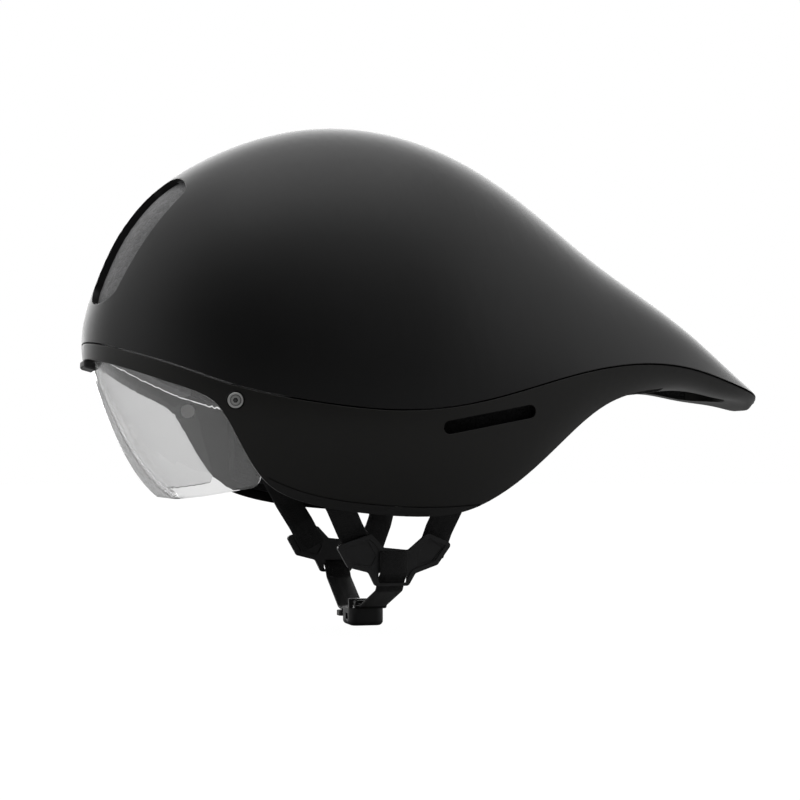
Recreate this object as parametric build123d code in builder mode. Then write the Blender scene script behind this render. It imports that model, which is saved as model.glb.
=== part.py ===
# Aero time trial helmet: bulbous shell with a long duck-bill tail, clear visor and chin straps.
# Frame: +Z up, front towards -Y, rider's left towards +X, origin inside the head at brow height.
# Units are millimetres.
import os
from math import acos, cos, pi, radians, sin

from build123d import *

os.makedirs("parts", exist_ok=True)

# Overall form
nose_reach = 129.5
tail_reach = 266.0
crown_height = 152.5
half_width = 104.0
nose_level = 28.7
overrun = 60.0

# Walls, gaps and fits
shell_wall = 1.8
wall_leg = 3.0
bond_gap = 0.3
seam_gap = 0.8
soft_gap = 0.4
seat_gap = 0.3
slide_clearance = 0.25
running_clearance = 0.06

# Head and face openings
head_length = 198.0
head_breadth = 156.0
head_top = 126.0
head_floor = -90.0
neck_breadth = 150.0
neck_reach = 138.0
neck_ceiling = -4.0
panel_setback = 6.0
skirt_front = -34.0

# Visor and its hinge
visor_wall = 2.0
visor_setback = 3.4
visor_tuck = 4.0
visor_corner_radius = 6.0
hinge_back = -61.3
hinge_height = -4.8
seat_face = 95.9
seat_radius = 4.6
seat_depth = 1.8
screw_head_diameter = 8.0
screw_head_height = 1.3
screw_dish_diameter = 5.8
screw_dish_depth = 0.5
screw_socket_diameter = 2.8
screw_socket_depth = 1.0
screw_shank_diameter = 4.0
screw_length = 13.0
nut_diameter = 8.0
nut_length = 4.0
visor_arm_radius = 7.0
tab_width = 26.0
tab_height = 6.5
tab_reach = 2.6
tab_depth = 8.5
tab_chamfer = 1.2
tab_rib_pitch = 2.6
tab_rib_width = 1.0
tab_rib_depth = 0.6
catch_width = 16.0
catch_height = 3.6
catch_depth = 4.0

# Front intake, side vents and the recess under the tail
intake_length = 84.0
intake_top_width = 44.0
intake_foot_width = 30.0
intake_top_radius = 17.0
intake_foot_radius = 12.0
intake_back = -100.0
intake_height = 84.0
intake_lean = 31.0
intake_depth = 10.0
nose_split = -62.0
slot_length = 54.7
slot_width = 7.0
slot_centre_back = 73.0
slot_centre_height = -13.5
slot_lean = 10.7
slot_floor = 84.0
exhaust_length = 56.0
exhaust_width = 46.0
exhaust_back = 222.0
exhaust_ceiling = 9.5
trim_proud = 0.4

# Comfort pads
pad_thickness = 7.0
pad_round = 2.4
brow_pad_width = 112.0
brow_pad_height = 24.0
brow_pad_level = 44.0
crown_pad_width = 46.0
crown_pad_length = 110.0
crown_pad_back = 8.0
side_pad_length = 62.0
side_pad_height = 24.0
side_pad_back = 6.0
side_pad_level = 52.0
pad_corner = 10.0

# Fit system at the nape
fit_level = -30.0
cradle_back = 82.5
cradle_half_breadth = 68.0
cradle_wall = 2.4
cradle_width = 76.0
cradle_height = 30.0
cradle_window_width = 20.0
cradle_window_height = 14.0
cradle_window_spacing = 44.0
nape_pad_thickness = 3.0
nape_pad_width = 62.0
nape_pad_height = 22.0
case_front = 86.0
case_length = 56.0
case_height = 26.0
case_wall = 2.0
case_corner = 6.0
gear_teeth = 10
gear_module = 1.0
gear_width = 3.0
gear_backlash = 0.5
rack_rear_end = 14.0
rack_bar = 3.0
rack_travel = 10.0
rack_head_wall = 3.0
shaft_diameter = 5.0
dial_diameter = 25.0
dial_depth = 7.5
dial_grips = 12
dial_grip_diameter = 3.6
dial_dish_depth = 1.2
band_half_breadth = 75.0
band_back_reach = 108.0
band_wall = 1.2
band_height = 10.0
band_front = -28.0
temple_back = -20.0
temple_pin_diameter = 3.2
temple_head_diameter = 7.0
temple_head_height = 1.0
temple_pin_length = 11.0

# Webbing, dividers and chin buckle
web_width = 15.0
web_wall = 1.5
anchor_x = 70.4
anchor_wall = 2.0
anchor_height = 8.0
rivet_diameter = 4.0
rivet_length = 9.0
rivet_head_diameter = 7.0
rivet_head_height = 1.0
web_leave = 22.0
web_land = 7.0
divider_x = 65.2
divider_wall = 3.0
divider_width = 63.4
divider_height = 28.2
divider_back = 28.9
divider_level = -87.3
divider_corner = 2.0
divider_rim = 2.4
divider_recess = 0.8
divider_slot_height = 5.6
divider_slot_level = -96.8
front_web_back = 9.0
front_web_lean = 28.5
rear_web_back = 52.0
rear_web_lean = -20.0
web_pair_level = -78.0
front_web_rise = 46.0
rear_web_rise = 42.0
web_tail = 11.0
web_bend = 5.0
lower_web_back = 28.0
lower_web_top = -83.0
lower_web_foot = -94.5
lower_web_turn = -104.0
lower_web_turn_x = 59.5
lower_web_flat_x = 25.0
housing_length = 22.0
housing_width = 20.0
housing_height = 10.0
housing_near_x = 12.0
housing_top = -117.0
housing_round = 2.5
housing_web_overlap = 8.0
tongue_length = 14.0
tongue_width = 11.0
tongue_wall = 3.6
tongue_prong_width = 2.4
tongue_neck_length = 6.0
loop_length = 9.0
loop_width = 19.0
loop_wall = 3.0
loop_bar = 2.0
keeper_length = 4.0
keeper_wall = 1.2
keeper_x = 18.0

# Lines of the form, as shares: place along the helmet, then height or width
crest_shares = (
    (-0.95, 0.395),
    (-0.80, 0.650),
    (-0.46, 0.880),
    (0.02, 1.0),
    (0.30, 0.900),
    (0.62, 0.520),
    (0.88, 0.195),
    (0.965, 0.076),
)
rim_shares = (
    (-0.88, 0.149),
    (-0.69, 0.088),
    (-0.50, 0.026),
    (-0.15, -0.037),
    (0.11, -0.060),
    (0.27, -0.022),
    (0.46, 0.068),
    (0.66, 0.122),
    (0.78, 0.106),
    (0.92, 0.038),
)
base_shares = (
    (-0.965, 0.045),
    (-0.86, -0.170),
    (-0.66, -0.390),
    (-0.30, -0.465),
    (0.15, -0.485),
    (0.30, -0.450),
    (0.41, -0.320),
    (0.53, -0.145),
    (0.64, -0.035),
    (0.73, 0.033),
    (0.81, 0.038),
    (0.91, 0.010),
    (0.97, -0.017),
)
plan_shares = (
    (-0.93, 0.410),
    (-0.77, 0.690),
    (-0.49, 0.917),
    (-0.15, 1.0),
    (0.15, 0.993),
    (0.38, 0.885),
    (0.53, 0.770),
    (0.68, 0.635),
    (0.86, 0.500),
    (0.94, 0.400),
    (0.96, 0.335),
    (0.985, 0.200),
    (0.996, 0.105),
)
foot_shares = (
    (-0.86, 0.13),
    (-0.64, 0.34),
    (-0.30, 0.56),
    (0.15, 0.57),
    (0.30, 0.55),
    (0.53, 0.42),
    (0.66, 0.26),
    (0.81, 0.19),
    (0.95, 0.08),
)
rim_lean_shares = ((-1.0, 1.0), (0.25, 1.0), (0.40, 0.90), (0.58, 0.72), (0.80, 0.52), (1.0, 0.35))
under_lean_shares = ((-1.0, 1.0), (0.30, 1.0), (0.50, 0.92), (0.66, 0.62), (0.78, 0.36), (1.0, 0.25))
station_shares = (
    -0.998,
    -0.985,
    -0.95,
    -0.88,
    -0.77,
    -0.62,
    -0.42,
    -0.18,
    0.05,
    0.22,
    0.36,
    0.48,
    0.60,
    0.71,
    0.81,
    0.89,
    0.95,
    0.985,
    0.998,
)
inner_end_share = 0.90
front_end_share = 0.30
lower_web_flat_share = 0.35
crest_fullness_share = 0.58
shoulder_fullness_share = 0.58
flank_fullness_share = 0.50
foot_fullness_share = 0.50

# Edge of the face and neck openings in side view: brow, cheek, panel corner, lower edge, nape
opening_shares = (
    (-0.988, 0.129),
    (-0.838, 0.0755),
    (-0.694, 0.0256),
    (-0.606, -0.004),
    (-0.545, -0.038),
    (-0.509, -0.079),
    (-0.453, -0.164),
    (-0.400, -0.240),
    (-0.350, -0.293),
    (-0.297, -0.329),
    (-0.188, -0.368),
    (0.024, -0.4066),
    (0.138, -0.4216),
    (0.244, -0.404),
    (0.338, -0.324),
    (0.456, -0.161),
    (0.569, -0.021),
    (0.627, 0.014),
    (0.7244, 0.0426),
)
# Upper line of the rubber trim on each panel, from its front end to its rear end
trim_line_shares = (
    (-0.335, -0.288),
    (-0.19, -0.337),
    (-0.05, -0.364),
    (0.05, -0.380),
    (0.14, -0.390),
    (0.225, -0.388),
    (0.275, -0.383),
)
# Visor outline in side view behind its buried top edge: rear edge down, heel, then forwards
visor_rear_shares = ((-0.415, -0.060), (-0.358, -0.262), (-0.352, -0.318))
visor_foot_shares = ((-0.448, -0.332), (-0.556, -0.351), (-0.640, -0.362))
# Divider outline: shares of its half width and half height, then its two windows
divider_shares = (
    (-1.0, 0.53),
    (-0.40, 0.98),
    (-0.186, 0.46),
    (0.246, 0.36),
    (0.577, 0.99),
    (1.0, 0.58),
    (0.745, -0.21),
    (0.36, -0.52),
    (0.24, -0.98),
    (-0.33, -0.98),
    (-0.44, -0.48),
    (-0.80, -0.27),
)
front_window_shares = ((-0.85, 0.42), (-0.45, 0.70), (-0.31, 0.15), (-0.40, -0.24), (-0.72, -0.10))
rear_window_shares = ((0.40, 0.22), (0.60, 0.72), (0.85, 0.46), (0.66, -0.06), (0.38, -0.20))


def along(share):
    """Distance along the helmet: a share of the nose reach in front, of the tail reach behind."""
    return share * (nose_reach if share < 0 else tail_reach)


def side_points(shares):
    """Side-view points from shares of the length and of the crown's height."""
    return [(along(place), height * crown_height) for place, height in shares]


def guide(shares, size, nose, tip, leaving, arriving):
    """A side or plan line of the form, drawn flat with the helmet's length along X."""
    points = [(along(place), height * size) for place, height in shares]
    return Spline(nose, *points, tip, tangents=[leaving, arriving])


nose_point = (-nose_reach, nose_level)
tip_point = (tail_reach, 0)
crest_line = guide(crest_shares, crown_height, nose_point, tip_point, (0, 1), (0.3, -1))
rim_line = guide(rim_shares, crown_height, nose_point, tip_point, (1, -0.35), (1, -0.3))
base_line = guide(base_shares, crown_height, nose_point, tip_point, (0, -1), (0.3, 1))
plan_line = guide(plan_shares, half_width, (-nose_reach, 0), (tail_reach, 0), (0, 1), (0, -1))
foot_line = guide(foot_shares, half_width, (-nose_reach, 0), (tail_reach, 0), (0.3, 1), (0.2, -1))


def height_at(line, place):
    """Where a guide line stands at one place along the helmet."""
    low, high = 0.0, 1.0
    for _ in range(40):
        middle = (low + high) / 2
        if line.position_at(middle).X < place:
            low = middle
        else:
            high = middle
    return line.position_at(low).Y


def lean_at(shares, share):
    """Angle between the section and the level at the rim, in radians, by straight steps."""
    for (first, first_lean), (last, last_lean) in zip(shares, shares[1:]):
        if share <= last:
            part = (share - first) / (last - first)
            return (first_lean + part * (last_lean - first_lean)) * pi / 2
    return shares[-1][1] * pi / 2


def form_values(share, inset):
    """Place, crest, rim, base, half width and foot of one section, drawn in by the inset."""
    outer_place = along(share)
    reach = nose_reach if share < 0 else tail_reach
    near_pole = 1 - min(1, (reach - abs(outer_place)) / (half_width / 4))
    side_inset = inset * (1 - near_pole / 2)
    place = share * (reach - inset)
    crest = height_at(crest_line, outer_place) - side_inset
    rim = height_at(rim_line, outer_place)
    base = height_at(base_line, outer_place) + side_inset
    half = height_at(plan_line, outer_place) - side_inset
    foot = min(height_at(foot_line, outer_place), half * 0.9)
    return place, crest, rim, base, half, foot


def upper_section(share, inset, leg):
    """Left half of the form's outline above the rim at one station, with a leg below the rim."""
    place, crest, rim, _, half, _ = form_values(share, inset)
    lean = lean_at(rim_lean_shares, share)
    shoulder = shoulder_fullness_share * (crest - rim)
    with BuildSketch(Plane.XZ.offset(-place)) as section:
        with BuildLine():
            Bezier(
                (0, crest),
                (half * crest_fullness_share, crest),
                (half - shoulder * cos(lean), rim + shoulder * sin(lean)),
                (half, rim),
            )
            if leg:
                Line((half, rim), (half, rim - leg))
            Polyline((half, rim - leg), (0, rim - leg), (0, crest))
        make_face()
    return section.sketch


def lower_section(share, inset, leg):
    """Left half of the form's outline below the rim at one station, with a leg above the rim."""
    place, _, rim, base, half, foot = form_values(share, inset)
    under = lean_at(under_lean_shares, share)
    flank = flank_fullness_share * ((rim - base) * sin(under) + (half - foot) * cos(under))
    with BuildSketch(Plane.XZ.offset(-place)) as section:
        with BuildLine():
            Bezier(
                (half, rim),
                (half - flank * cos(under), rim - flank * sin(under)),
                (foot + (half - foot) * foot_fullness_share, base),
                (foot, base),
            )
            Polyline((foot, base), (0, base), (0, rim + leg), (half, rim + leg))
            if leg:
                Line((half, rim + leg), (half, rim))
        make_face()
    return section.sketch


def half_form(section_at, inset=0, leg=0, last=1.0):
    """Left half of the helmet's body above or below the rim, as one solid."""
    with BuildPart() as form:
        loft(sections=[section_at(share, inset, leg) for share in station_shares if share < last])
    return form.part


def head_form(clearance):
    """Egg-shaped room for the head, drawn in by the clearance."""
    head_shares = ((0, 1.0), (0.38, 0.985), (0.62, 0.87), (0.80, 0.67), (0.92, 0.43), (0.998, 0.08))
    half_length = head_length / 2 - clearance
    half_breadth = head_breadth / 2 - clearance
    with BuildPart() as form:
        for height, width in head_shares:
            with BuildSketch(Plane.XY.offset(height * (head_top - clearance))):
                Ellipse(half_breadth * width, half_length * width)
        loft()
        with BuildSketch():
            Ellipse(half_breadth, half_length)
        extrude(amount=head_floor)
    return form.part


def front_form(inset, leg=0):
    """Front stretch of the left half of the form below the rim, drawn in by the inset."""
    return half_form(lower_section, inset, leg, front_end_share)


def side_cut(region):
    """A side-view region swept across the left half of the helmet."""
    return extrude(region, amount=half_width + overrun, dir=(1, 0, 0), mode=Mode.PRIVATE)


# Side-view regions that split the form
with BuildSketch(Plane.YZ) as above_seam:
    with BuildLine():
        with Locations((0, seam_gap / 2)):
            add(rim_line)
        Polyline(
            (tail_reach, seam_gap / 2),
            (tail_reach + overrun, seam_gap / 2),
            (tail_reach + overrun, crown_height + overrun),
            (-nose_reach - overrun, crown_height + overrun),
            (-nose_reach - overrun, nose_level + seam_gap / 2),
            (-nose_reach, nose_level + seam_gap / 2),
        )
    make_face()

with BuildSketch(Plane.YZ) as below_seam:
    with BuildLine():
        with Locations((0, -seam_gap / 2)):
            add(rim_line)
        Polyline(
            (tail_reach, -seam_gap / 2),
            (tail_reach + overrun, -seam_gap / 2),
            (tail_reach + overrun, -crown_height),
            (-nose_reach - overrun, -crown_height),
            (-nose_reach - overrun, nose_level - seam_gap / 2),
            (-nose_reach, nose_level - seam_gap / 2),
        )
    make_face()

opening_points = side_points(opening_shares)
with BuildSketch(Plane.YZ) as opening:
    with BuildLine():
        Spline(*opening_points)
        Polyline(
            opening_points[-1],
            (opening_points[-1][0], -crown_height),
            (-nose_reach - overrun, -crown_height),
            (-nose_reach - overrun, opening_points[0][1]),
            opening_points[0],
        )
    make_face()

trim_points = side_points(trim_line_shares)
with BuildSketch(Plane.YZ) as trim_zone:
    with BuildLine():
        Spline(*trim_points)
        Polyline(
            trim_points[-1],
            (trim_points[-1][0], -crown_height / 2),
            (trim_points[0][0], -crown_height / 2),
            trim_points[0],
        )
    make_face()

# Crown intake: a long rounded hole that narrows towards the brow, square to the sloping front
intake_plane = Plane(
    origin=(0, intake_back, intake_height),
    x_dir=(1, 0, 0),
    z_dir=(0, -cos(radians(intake_lean)), sin(radians(intake_lean))),
)


def intake_outline(grow):
    """Outline of the crown intake, grown by a margin."""
    top = intake_top_width / 2 + grow
    foot = intake_foot_width / 2 + grow
    reach = intake_length / 2 + grow
    with BuildSketch() as outline:
        with BuildLine():
            Polyline((-top, reach), (top, reach), (foot, -reach), (-foot, -reach), close=True)
        make_face()
        fillet(outline.vertices().group_by(Axis.Y)[-1], intake_top_radius + grow)
        fillet(outline.vertices().group_by(Axis.Y)[0], intake_foot_radius + grow)
    return outline.sketch


# Side vent: a slot that climbs towards the tail
slot_plane = Plane(origin=(0, slot_centre_back, slot_centre_height), x_dir=(0, 1, 0), z_dir=(1, 0, 0))
with BuildSketch(slot_plane) as slot_outline:
    SlotOverall(slot_length, slot_width, rotation=slot_lean)

# Recess under the tail
with BuildSketch(Plane.XY.offset(-overrun)) as exhaust_outline:
    with Locations((0, exhaust_back)):
        Ellipse(exhaust_width / 2, exhaust_length / 2)

hinge_plane = Plane(origin=(0, hinge_back, hinge_height), x_dir=(0, 1, 0), z_dir=(1, 0, 0))

with BuildPart() as upper_shell:
    add(half_form(upper_section))
    add(half_form(upper_section, shell_wall, wall_leg, inner_end_share), mode=Mode.SUBTRACT)
    add(side_cut(above_seam.sketch), mode=Mode.INTERSECT)
    with BuildSketch(intake_plane):
        add(intake_outline(0))
    extrude(amount=overrun, both=True, mode=Mode.SUBTRACT)
    mirror(about=Plane.YZ)
upper_shell.part.label = "upper_shell"
export_step(upper_shell.part, "parts/upper_shell.step")

with BuildPart() as lower_shell:
    add(half_form(lower_section))
    add(half_form(lower_section, shell_wall, wall_leg, inner_end_share), mode=Mode.SUBTRACT)
    add(side_cut(below_seam.sketch), mode=Mode.INTERSECT)
    add(side_cut(opening.sketch), mode=Mode.SUBTRACT)
    add(side_cut(trim_zone.sketch), mode=Mode.SUBTRACT)
    extrude(slot_outline.sketch, amount=half_width + overrun, mode=Mode.SUBTRACT)
    extrude(exhaust_outline.sketch, amount=2 * overrun, mode=Mode.SUBTRACT)
    with BuildSketch(hinge_plane.offset(seat_face - seat_depth)):
        Circle(seat_radius)
    extrude(amount=seat_depth)
    with BuildSketch(hinge_plane.offset(seat_face)):
        Circle(seat_radius)
    extrude(amount=overrun, mode=Mode.SUBTRACT)
    with BuildSketch(hinge_plane):
        Circle(screw_shank_diameter / 2 + running_clearance)
    extrude(amount=half_width + overrun, mode=Mode.SUBTRACT)
    mirror(about=Plane.YZ)
lower_shell.part.label = "lower_shell"
export_step(lower_shell.part, "parts/lower_shell.step")

with BuildPart() as edge_trim:
    add(half_form(lower_section, -trim_proud))
    add(half_form(lower_section, shell_wall, wall_leg, inner_end_share), mode=Mode.SUBTRACT)
    add(side_cut(trim_zone.sketch), mode=Mode.INTERSECT)
    add(side_cut(opening.sketch), mode=Mode.SUBTRACT)
    mirror(about=Plane.YZ)
edge_trim.part.label = "edge_trim"
export_step(edge_trim.part, "parts/edge_trim.step")


# Foam above and below the seam; the nose block with the intake's floor is moulded on its own
def foam_form(section_at):
    """Left half of the room inside the bonded shells, above or below the rim."""
    return half_form(section_at, shell_wall + bond_gap, wall_leg, inner_end_share)


with BuildSketch(Plane.YZ) as foam_opening:
    with Locations((0, panel_setback)):
        add(opening.sketch_local)

with BuildPart() as neck_room:
    with BuildSketch(Plane.XY.offset(neck_ceiling)) as neck_plan:
        with Locations((0, neck_reach / 2)):
            Rectangle(neck_breadth, neck_reach)
        fillet(neck_plan.vertices().group_by(Axis.Y)[-1], neck_breadth / 4)
    extrude(amount=head_floor - neck_ceiling)


def web_plane(back, lean):
    """Plane of one strap's bent path: X across the helmet, Y up along the strap."""
    tilt = radians(lean)
    return Plane(origin=(0, back, web_pair_level), x_dir=(1, 0, 0), z_dir=(0, -cos(tilt), -sin(tilt)))


front_plane = web_plane(front_web_back, front_web_lean)
rear_plane = web_plane(rear_web_back, rear_web_lean)
web_layouts = ((front_plane, front_web_rise), (rear_plane, rear_web_rise))
temple_x = band_half_breadth * sin(acos(temple_back / band_back_reach))


def rivet_plane(plane, rise):
    """Plane square to X through the rivet of one strap, with its sketch centre on the rivet."""
    centre = plane.from_local_coords((anchor_x, rise - anchor_height / 2, 0))
    return Plane(origin=centre, x_dir=plane.z_dir, z_dir=(1, 0, 0))


with BuildPart() as nose_foam:
    add(foam_form(upper_section))
    with BuildSketch(Plane.XZ.offset(bond_gap - nose_split)):
        Rectangle(4 * half_width, 4 * crown_height)
    extrude(amount=-2 * tail_reach, mode=Mode.SUBTRACT)
    add(side_cut(above_seam.sketch), mode=Mode.INTERSECT)
    add(head_form(0), mode=Mode.SUBTRACT)
    with BuildSketch(intake_plane.offset(-intake_depth)):
        add(intake_outline(0))
    extrude(amount=overrun, mode=Mode.SUBTRACT)
    mirror(about=Plane.YZ)
nose_foam.part.label = "nose_foam"
export_step(nose_foam.part, "parts/nose_foam.step")

with BuildPart() as crown_foam:
    add(foam_form(upper_section))
    with BuildSketch(Plane.XZ.offset(-nose_split)):
        Rectangle(4 * half_width, 4 * crown_height)
    extrude(amount=nose_reach, mode=Mode.SUBTRACT)
    add(side_cut(above_seam.sketch), mode=Mode.INTERSECT)
    add(head_form(0), mode=Mode.SUBTRACT)
    mirror(about=Plane.YZ)
crown_foam.part.label = "crown_foam"
export_step(crown_foam.part, "parts/crown_foam.step")

with BuildPart() as skirt_foam:
    add(foam_form(lower_section))
    with BuildSketch(Plane.XZ.offset(-skirt_front)):
        Rectangle(4 * half_width, 4 * crown_height)
    extrude(amount=nose_reach, mode=Mode.SUBTRACT)
    add(side_cut(foam_opening.sketch), mode=Mode.SUBTRACT)
    add(side_cut(below_seam.sketch), mode=Mode.INTERSECT)
    add(head_form(0), mode=Mode.SUBTRACT)
    add(neck_room.part, mode=Mode.SUBTRACT)
    with BuildSketch(slot_plane.offset(slot_floor)):
        add(slot_outline.sketch_local)
    extrude(amount=half_width, mode=Mode.SUBTRACT)
    extrude(exhaust_outline.sketch, amount=overrun + exhaust_ceiling, mode=Mode.SUBTRACT)
    for plane, rise in web_layouts:
        with BuildSketch(rivet_plane(plane, rise)):
            Circle(rivet_diameter / 2 + running_clearance)
        extrude(amount=rivet_length + seat_gap, mode=Mode.SUBTRACT)
    with BuildSketch(Plane.YZ.offset(temple_x)):
        with Locations((temple_back, fit_level)):
            Circle(temple_pin_diameter / 2 + running_clearance)
    extrude(amount=temple_pin_length + seat_gap, mode=Mode.SUBTRACT)
    mirror(about=Plane.YZ)
skirt_foam.part.label = "skirt_foam"
export_step(skirt_foam.part, "parts/skirt_foam.step")

# Visor: a curved clear lens with a round arm at each hinge
brow_edge = [(back, level + visor_tuck) for back, level in opening_points[:5]]
with BuildSketch(Plane.YZ) as visor_zone:
    with BuildLine():
        Polyline(
            *brow_edge,
            *side_points(visor_rear_shares),
            *side_points(visor_foot_shares),
            (-nose_reach - overrun, visor_foot_shares[-1][1] * crown_height),
            (-nose_reach - overrun, brow_edge[0][1]),
            brow_edge[0],
        )
    make_face()
    heel = visor_zone.vertices().sort_by_distance(Vector(*side_points(visor_rear_shares)[-1]))[0]
    fillet(heel, visor_corner_radius)
    with Locations((hinge_back, hinge_height)):
        Circle(visor_arm_radius)

with BuildPart() as visor_lens:
    add(front_form(visor_setback))
    add(front_form(visor_setback + visor_wall, wall_leg), mode=Mode.SUBTRACT)
    add(side_cut(visor_zone.sketch), mode=Mode.INTERSECT)
    with BuildSketch(hinge_plane):
        Circle(screw_shank_diameter / 2 + running_clearance)
    extrude(amount=half_width + overrun, mode=Mode.SUBTRACT)
    mirror(about=Plane.YZ)
visor_lens.part.label = "visor_lens"
export_step(visor_lens.part, "parts/visor_lens.step")

# Grip tab on the front of the lens, just under the brow
tab_top = opening_points[0][1] - seat_gap * 2
with BuildSketch(Plane.YZ) as tab_zone:
    with Locations((0, -2 * seat_gap)):
        add(opening.sketch_local)

with BuildPart() as visor_tab:
    with BuildSketch(Plane.XY.offset(tab_top)) as tab_plan:
        with Locations((0, -nose_reach - tab_reach)):
            Rectangle(tab_width, tab_depth, align=(Align.CENTER, Align.MIN))
        fillet(tab_plan.vertices().group_by(Axis.Y)[0], tab_chamfer * 2)
    extrude(amount=-tab_height)
    chamfer(visor_tab.faces().sort_by(Axis.Z)[0].edges().sort_by(Axis.Y)[:3], tab_chamfer)
    with BuildSketch(Plane.XY.offset(tab_top)):
        with Locations((0, -nose_reach - tab_reach)):
            with GridLocations(tab_rib_pitch, 0, int(tab_width / tab_rib_pitch) - 2, 1):
                Rectangle(tab_rib_pitch - tab_rib_width, 2 * tab_rib_depth)
    extrude(amount=-tab_height, mode=Mode.SUBTRACT)
    add(front_form(visor_setback), mode=Mode.SUBTRACT)
    split(bisect_by=Plane.YZ, keep=Keep.TOP)
    add(side_cut(tab_zone.sketch), mode=Mode.INTERSECT)
    mirror(about=Plane.YZ)
visor_tab.part.label = "visor_tab"
export_step(visor_tab.part, "parts/visor_tab.step")

# Catch block behind the brow that the top of the lens closes under
catch_level = brow_edge[0][1] + seat_gap
with BuildPart() as visor_catch:
    add(front_form(shell_wall + bond_gap))
    add(front_form(shell_wall + bond_gap + catch_depth, wall_leg), mode=Mode.SUBTRACT)
    with BuildSketch(Plane.XY.offset(catch_level)) as catch_plan:
        with Locations((0, -nose_reach)):
            Rectangle(catch_width, 4 * catch_depth)
    extrude(amount=catch_height, mode=Mode.INTERSECT)
    add(side_cut(below_seam.sketch), mode=Mode.INTERSECT)
    mirror(about=Plane.YZ)
visor_catch.part.label = "visor_catch"
export_step(visor_catch.part, "parts/visor_catch.step")

with BuildPart() as visor_screws:
    with BuildSketch(hinge_plane.offset(seat_face)):
        Circle(screw_head_diameter / 2)
    extrude(amount=screw_head_height)
    fillet(visor_screws.faces().sort_by(Axis.X)[-1].edges(), screw_head_height / 4)
    with BuildSketch(hinge_plane.offset(seat_face + screw_head_height)):
        Circle(screw_dish_diameter / 2)
    extrude(amount=-screw_dish_depth, mode=Mode.SUBTRACT)
    with BuildSketch(hinge_plane.offset(seat_face)):
        Circle(screw_shank_diameter / 2)
    extrude(amount=-screw_length)
    with BuildSketch(hinge_plane.offset(seat_face + screw_head_height)):
        RegularPolygon(screw_socket_diameter / 2, 6)
    extrude(amount=-screw_dish_depth - screw_socket_depth, mode=Mode.SUBTRACT)
    mirror(about=Plane.YZ)
visor_screws.part.label = "visor_screws"
export_step(visor_screws.part, "parts/visor_screws.step")

with BuildPart() as visor_nuts:
    with BuildSketch(hinge_plane.offset(seat_face - screw_length)):
        Circle(nut_diameter / 2)
        Circle(screw_shank_diameter / 2 + running_clearance, mode=Mode.SUBTRACT)
    extrude(amount=nut_length)
    mirror(about=Plane.YZ)
visor_nuts.part.label = "visor_nuts"
export_step(visor_nuts.part, "parts/visor_nuts.step")

# Comfort pads: pieces of a thick shell inside the head room, with drawn-in, rounded sides
def pad_block():
    """The thick shell that the pads are cut from."""
    return head_form(soft_gap) - head_form(soft_gap + pad_thickness)


def round_inner_edges(pad):
    """Round the edges of the pad's face that touches the head."""
    fillet(pad.faces().sort_by(SortBy.AREA)[-2].edges(), pad_round)


with BuildPart() as brow_pad:
    add(pad_block())
    with BuildSketch(Plane.XZ):
        with Locations((0, brow_pad_level)):
            RectangleRounded(brow_pad_width, brow_pad_height, pad_corner)
    extrude(amount=head_length, mode=Mode.INTERSECT)
    round_inner_edges(brow_pad)
brow_pad.part.label = "brow_pad"
export_step(brow_pad.part, "parts/brow_pad.step")

with BuildPart() as crown_pad:
    add(pad_block())
    with BuildSketch(Plane.XY.offset(side_pad_level)):
        with Locations((0, crown_pad_back)):
            RectangleRounded(crown_pad_width, crown_pad_length, pad_corner)
    extrude(amount=head_top, mode=Mode.INTERSECT)
    round_inner_edges(crown_pad)
crown_pad.part.label = "crown_pad"
export_step(crown_pad.part, "parts/crown_pad.step")

for side, side_name in ((1, "left"), (-1, "right")):
    with BuildPart() as side_pad:
        add(pad_block())
        with BuildSketch(Plane.YZ):
            with Locations((side_pad_back, side_pad_level)):
                RectangleRounded(side_pad_length, side_pad_height, pad_corner)
        extrude(amount=side * head_breadth, mode=Mode.INTERSECT)
        round_inner_edges(side_pad)
    side_pad.part.label = f"side_pad_{side_name}"
    export_step(side_pad.part, f"parts/side_pad_{side_name}.step")


# Fit system at the nape
def ring_sketch(level, half_breadth, back, wall):
    """Plan of a thin elliptical ring at one height."""
    with BuildSketch(Plane.XY.offset(level)) as ring:
        Ellipse(half_breadth, back)
        Ellipse(half_breadth - wall, back - wall, mode=Mode.SUBTRACT)
    return ring.sketch


pitch_radius = gear_module * gear_teeth / 2
tooth_root = 1.25 * gear_module
tooth_tip = 0.9 * gear_module
cavity_half = pitch_radius + tooth_root + rack_bar + slide_clearance
case_depth = 2 * case_wall + gear_width + 2 * slide_clearance
case_back = case_front + case_depth
gear_front = case_front + case_wall + slide_clearance
rack_reach = case_length / 2 + rack_travel + seat_gap
tooth_half_pitch = pi * gear_module / 4 - gear_backlash / 2

with BuildPart() as nape_cradle:
    add(ring_sketch(fit_level, cradle_half_breadth, cradle_back, cradle_wall))
    extrude(amount=cradle_height / 2, both=True)
    with BuildSketch(Plane.XZ):
        with Locations((0, fit_level)):
            RectangleRounded(cradle_width, cradle_height, case_corner)
    extrude(amount=-head_length, mode=Mode.INTERSECT)
    with BuildSketch(Plane.XZ):
        with Locations((0, fit_level)):
            with GridLocations(cradle_window_spacing, 0, 2, 1):
                RectangleRounded(cradle_window_width, cradle_window_height, case_corner / 2)
    extrude(amount=-head_length, mode=Mode.SUBTRACT)
    with BuildSketch(Plane.XZ.offset(-case_front)):
        with Locations((0, fit_level)):
            RectangleRounded(cradle_window_width, cradle_window_width, case_corner / 2)
    extrude(amount=case_front - cradle_back + cradle_wall / 2)
nape_cradle.part.label = "nape_cradle"
export_step(nape_cradle.part, "parts/nape_cradle.step")

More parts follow.
